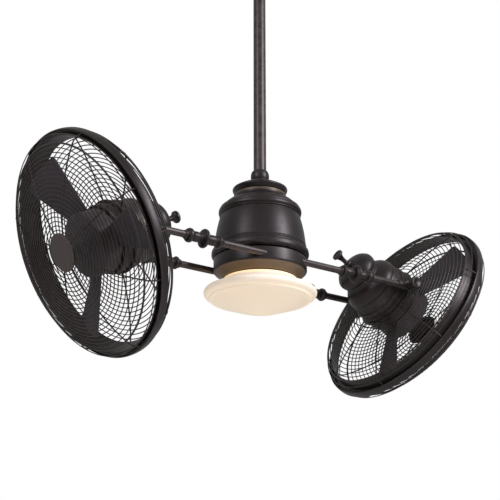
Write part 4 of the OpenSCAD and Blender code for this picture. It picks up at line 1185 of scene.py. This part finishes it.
class FAN_OT_motors(FanOperator):
    """Draws both motors with their handles, trunnions and lock knobs"""
    bl_idname = "fan.motors"
    bl_label = "Draw the motors"

    def execute(self, context):
        for head in HEADS:
            for name, node, shape in (("motor_drum", "motor_barrel", motor_shape),
                                      ("rear_cap_dome", "rear_cap", rear_cap_shape),
                                      ("front_flange_drum", "front_flange", front_flange_shape),
                                      ("trumpet_handle", "tilt_handle", handle_shape)):
                head.draw(shape(head), name, "bronze", node)
            knob, pins = head.measure("lock_knob"), head.measure("trunnions")
            sign = 1 if knob.high[1] > 0 else -1
            near, far = sorted(abs(end[1]) for end in (knob.low, knob.high))
            turned = knob_shape(far - near, (knob.high[0] - knob.low[0]) / 2)
            head.draw(turned.moved(crosswise(sign, near)), "knob_turned", "bronze", "lock_knob",
                      "knob")
            stud, bolt = (pins.high[1], -pins.low[1])[::sign]
            start = 64
            bolts = trunnion_shape(sign, False, stud, start).join(
                trunnion_shape(-sign, True, bolt, start))
            # The pivot bolts take the lighter bronze copy, which is painted light.
            head.draw(bolts, "pivot_bolts", "bronze_lit", "trunnions")
        return {"FINISHED"}


class FAN_OT_blades(FanOperator):
    """Draws the blades and hub of both heads"""
    bl_idname = "fan.blades"
    bl_label = "Draw the blades"

    def execute(self, context):
        blades = in_millimetres(context.scene.fan_blades)
        for head, first in zip(HEADS, (blades.left_turn, blades.right_turn)):
            head.draw(blade_shape(head, blades, first), "blade_set", "blade", "blades", "fan")
        return {"FINISHED"}


class FAN_OT_cages(FanOperator):
    """Draws the grilles, bands and middle discs"""
    bl_idname = "fan.cages"
    bl_label = "Draw the cages"

    def execute(self, context):
        cages = in_millimetres(context.scene.fan_cages)
        for head in HEADS:
            fore, aft, middle, rim, wires = cage_lines(head, cages)
            disc, bore = head.measure("disc_cap"), head.measure("rear_grille").bore
            front = grille_shape(cages, fore, 1, middle, rim, wires[0],
                                 disc.radius + cages.pitch * 0.6, cages.front_turn)
            hole, seat = 28, 5
            front.join(seat_ring(disc.foot - 3, disc.foot, hole, disc.radius - 2))
            rear = grille_shape(cages, aft, -1, middle, rim, wires[1],
                                bore + seat + cages.pitch, cages.rear_turn)
            rear.join(seat_ring(aft[0, 1] - 1.4, aft[0, 1] + 1.4, bore, bore + seat))
            head.draw(front, "front_cage_wires", "wire_bronze", "front_grille", crease=60)
            head.draw(rear, "rear_cage_wires", "wire_bronze", "rear_grille", crease=60)
            head.draw(band_shape(head, middle), "cage_hoop", "bronze", "cage_band")
            head.draw(disc_shape(head), "middle_disc", "disc_brown", "disc_cap")
        return {"FINISHED"}


class FAN_OT_inner_parts(FanOperator):
    """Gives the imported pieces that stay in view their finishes"""
    bl_idname = "fan.inner_parts"
    bl_label = "Finish the inner parts"

    def execute(self, context):
        slots = {}
        for entry in frame["record"].get("materials", []):
            for node in entry.get("nodes", []):
                slots[node] = entry["slot"]
        for name, piece in frame["nodes"].items():
            finish = FINISH[slots[name]] if name in slots else FINISH["zinc_steel"]
            if not piece.material_slots:
                piece.data.materials.append(finish)
            for slot in piece.material_slots:
                slot.material = finish
        return {"FINISHED"}


class FAN_OT_studio(FanOperator):
    """Sets the camera, the pale floor and the soft lights"""
    bl_idname = "fan.studio"
    bl_label = "Set the studio"

    def execute(self, context):
        studio = context.scene.fan_studio
        make_camera(studio)
        make_floor(studio)
        make_lights(studio)
        return {"FINISHED"}


def make_camera(studio):
    """Camera without roll: it looks along (sin t cos p, cos t cos p, sin p)."""
    data = bpy.data.cameras.new("studio_camera")
    data.lens, data.sensor_width = studio.lens, 36.0
    data.clip_end = 50.0
    camera = link_object("studio_camera", data)
    camera.location = studio.camera_place
    t, p = studio.camera_turn, studio.camera_pitch
    ahead = Vector((math.sin(t) * math.cos(p), math.cos(t) * math.cos(p), math.sin(p)))
    camera.rotation_euler = ahead.to_track_quat("-Z", "Y").to_euler()
    bpy.context.scene.camera = camera


def make_floor(studio):
    """Large pale floor with a faint, cloudy surface."""
    size = 14.0
    mesh = bpy.data.meshes.new("pale_floor")
    corner = np.array([(-1, -1), (1, -1), (1, 1), (-1, 1)]) * size
    points = np.column_stack([corner, np.full(4, -studio.floor_drop)])
    mesh.from_pydata(points.tolist(), [], [[0, 1, 2, 3]])
    material, net, place = start_material("Pale floor")
    cloud = net.noise(place, 1.2, 4.0)
    net.shade({"Base Color": net.mix(cloud, rgba((0.86, 0.86, 0.86)), rgba((0.9, 0.9, 0.895))),
               "Roughness": net.remap(cloud, 0.3, 0.7, 0.5, 0.6)})
    mesh.materials.append(material)
    link_object("pale_floor", mesh)


def soft_box(name, power, across, back, level):
    """Tall soft box, slightly cool, that faces the fan's body from a place above the arms."""
    data = bpy.data.lights.new(name, "AREA")
    data.energy, data.color = power, (0.9, 0.92, 1.0)
    data.shape, data.size, data.size_y = "RECTANGLE", 0.9, 1.5
    lamp = link_object(name, data)
    lamp.location = (across, back, level + 1.3)
    ahead = Vector((0.0, 0.0, level + 0.1)) - Vector((across, back, level + 1.3))
    lamp.rotation_euler = ahead.to_track_quat("-Z", "Y").to_euler()


def make_lights(studio):
    """White surround, brighter to the eye than as a light, and two tall soft boxes."""
    scene = bpy.context.scene
    scene.view_settings.view_transform = "Standard"
    world = bpy.data.worlds.new("white_surround")
    scene.world = world
    world.use_nodes = True
    net = Net(world.node_tree)
    net.tree.nodes.clear()
    seen = net.node("ShaderNodeLightPath").outputs["Is Camera Ray"]
    back = net.node("ShaderNodeBackground", {
        "Color": (1.0, 1.0, 1.0, 1.0),
        "Strength": net.remap(seen, 0.0, 1.0, studio.sky, 1.0)})
    net.node("ShaderNodeOutputWorld", {"Surface": back.outputs["Background"]})
    soft_box("right_softbox", studio.key, 1.15, -2.5, ARM_Z * MM)
    soft_box("left_softbox", studio.fill, -2.7, -0.6, ARM_Z * MM)


class FAN_PT_panel(bpy.types.Panel):
    """Lists the sizes, the colours and the operators"""
    bl_idname = "FAN_PT_panel"
    bl_label = "Ceiling fan"
    bl_space_type = "VIEW_3D"
    bl_region_type = "UI"
    bl_category = "Ceiling fan"

    def draw(self, context):
        for group in GROUPS:
            box = self.layout.box()
            held = getattr(context.scene, group)
            for key in held.bl_rna.properties.keys():
                if key not in ("rna_type", "name"):
                    box.prop(held, key)
        for operator in OPERATORS:
            self.layout.operator(operator.bl_idname)


GROUPS = {"fan_finishes": FanFinishes, "fan_cages": FanCages, "fan_blades": FanBlades,
          "fan_studio": FanStudio}
OPERATORS = (FAN_OT_finishes, FAN_OT_ceiling, FAN_OT_housing, FAN_OT_collar, FAN_OT_arms,
             FAN_OT_light, FAN_OT_motors, FAN_OT_blades, FAN_OT_cages, FAN_OT_inner_parts,
             FAN_OT_studio)


def register():
    """Registers the property groups, the operators and the panel."""
    for cls in (*GROUPS.values(), *OPERATORS, FAN_PT_panel):
        bpy.utils.register_class(cls)
    for name, cls in GROUPS.items():
        setattr(bpy.types.Scene, name, PointerProperty(type=cls))


def unregister():
    """Takes back what register() did."""
    for name in GROUPS:
        delattr(bpy.types.Scene, name)
    for cls in (FAN_PT_panel, *reversed(OPERATORS), *reversed(GROUPS.values())):
        bpy.utils.unregister_class(cls)


def main():
    """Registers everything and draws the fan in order."""
    register()
    for operator in OPERATORS:
        group, name = operator.bl_idname.split(".")
        getattr(getattr(bpy.ops, group), name)()


if __name__ == "__main__":
    main()
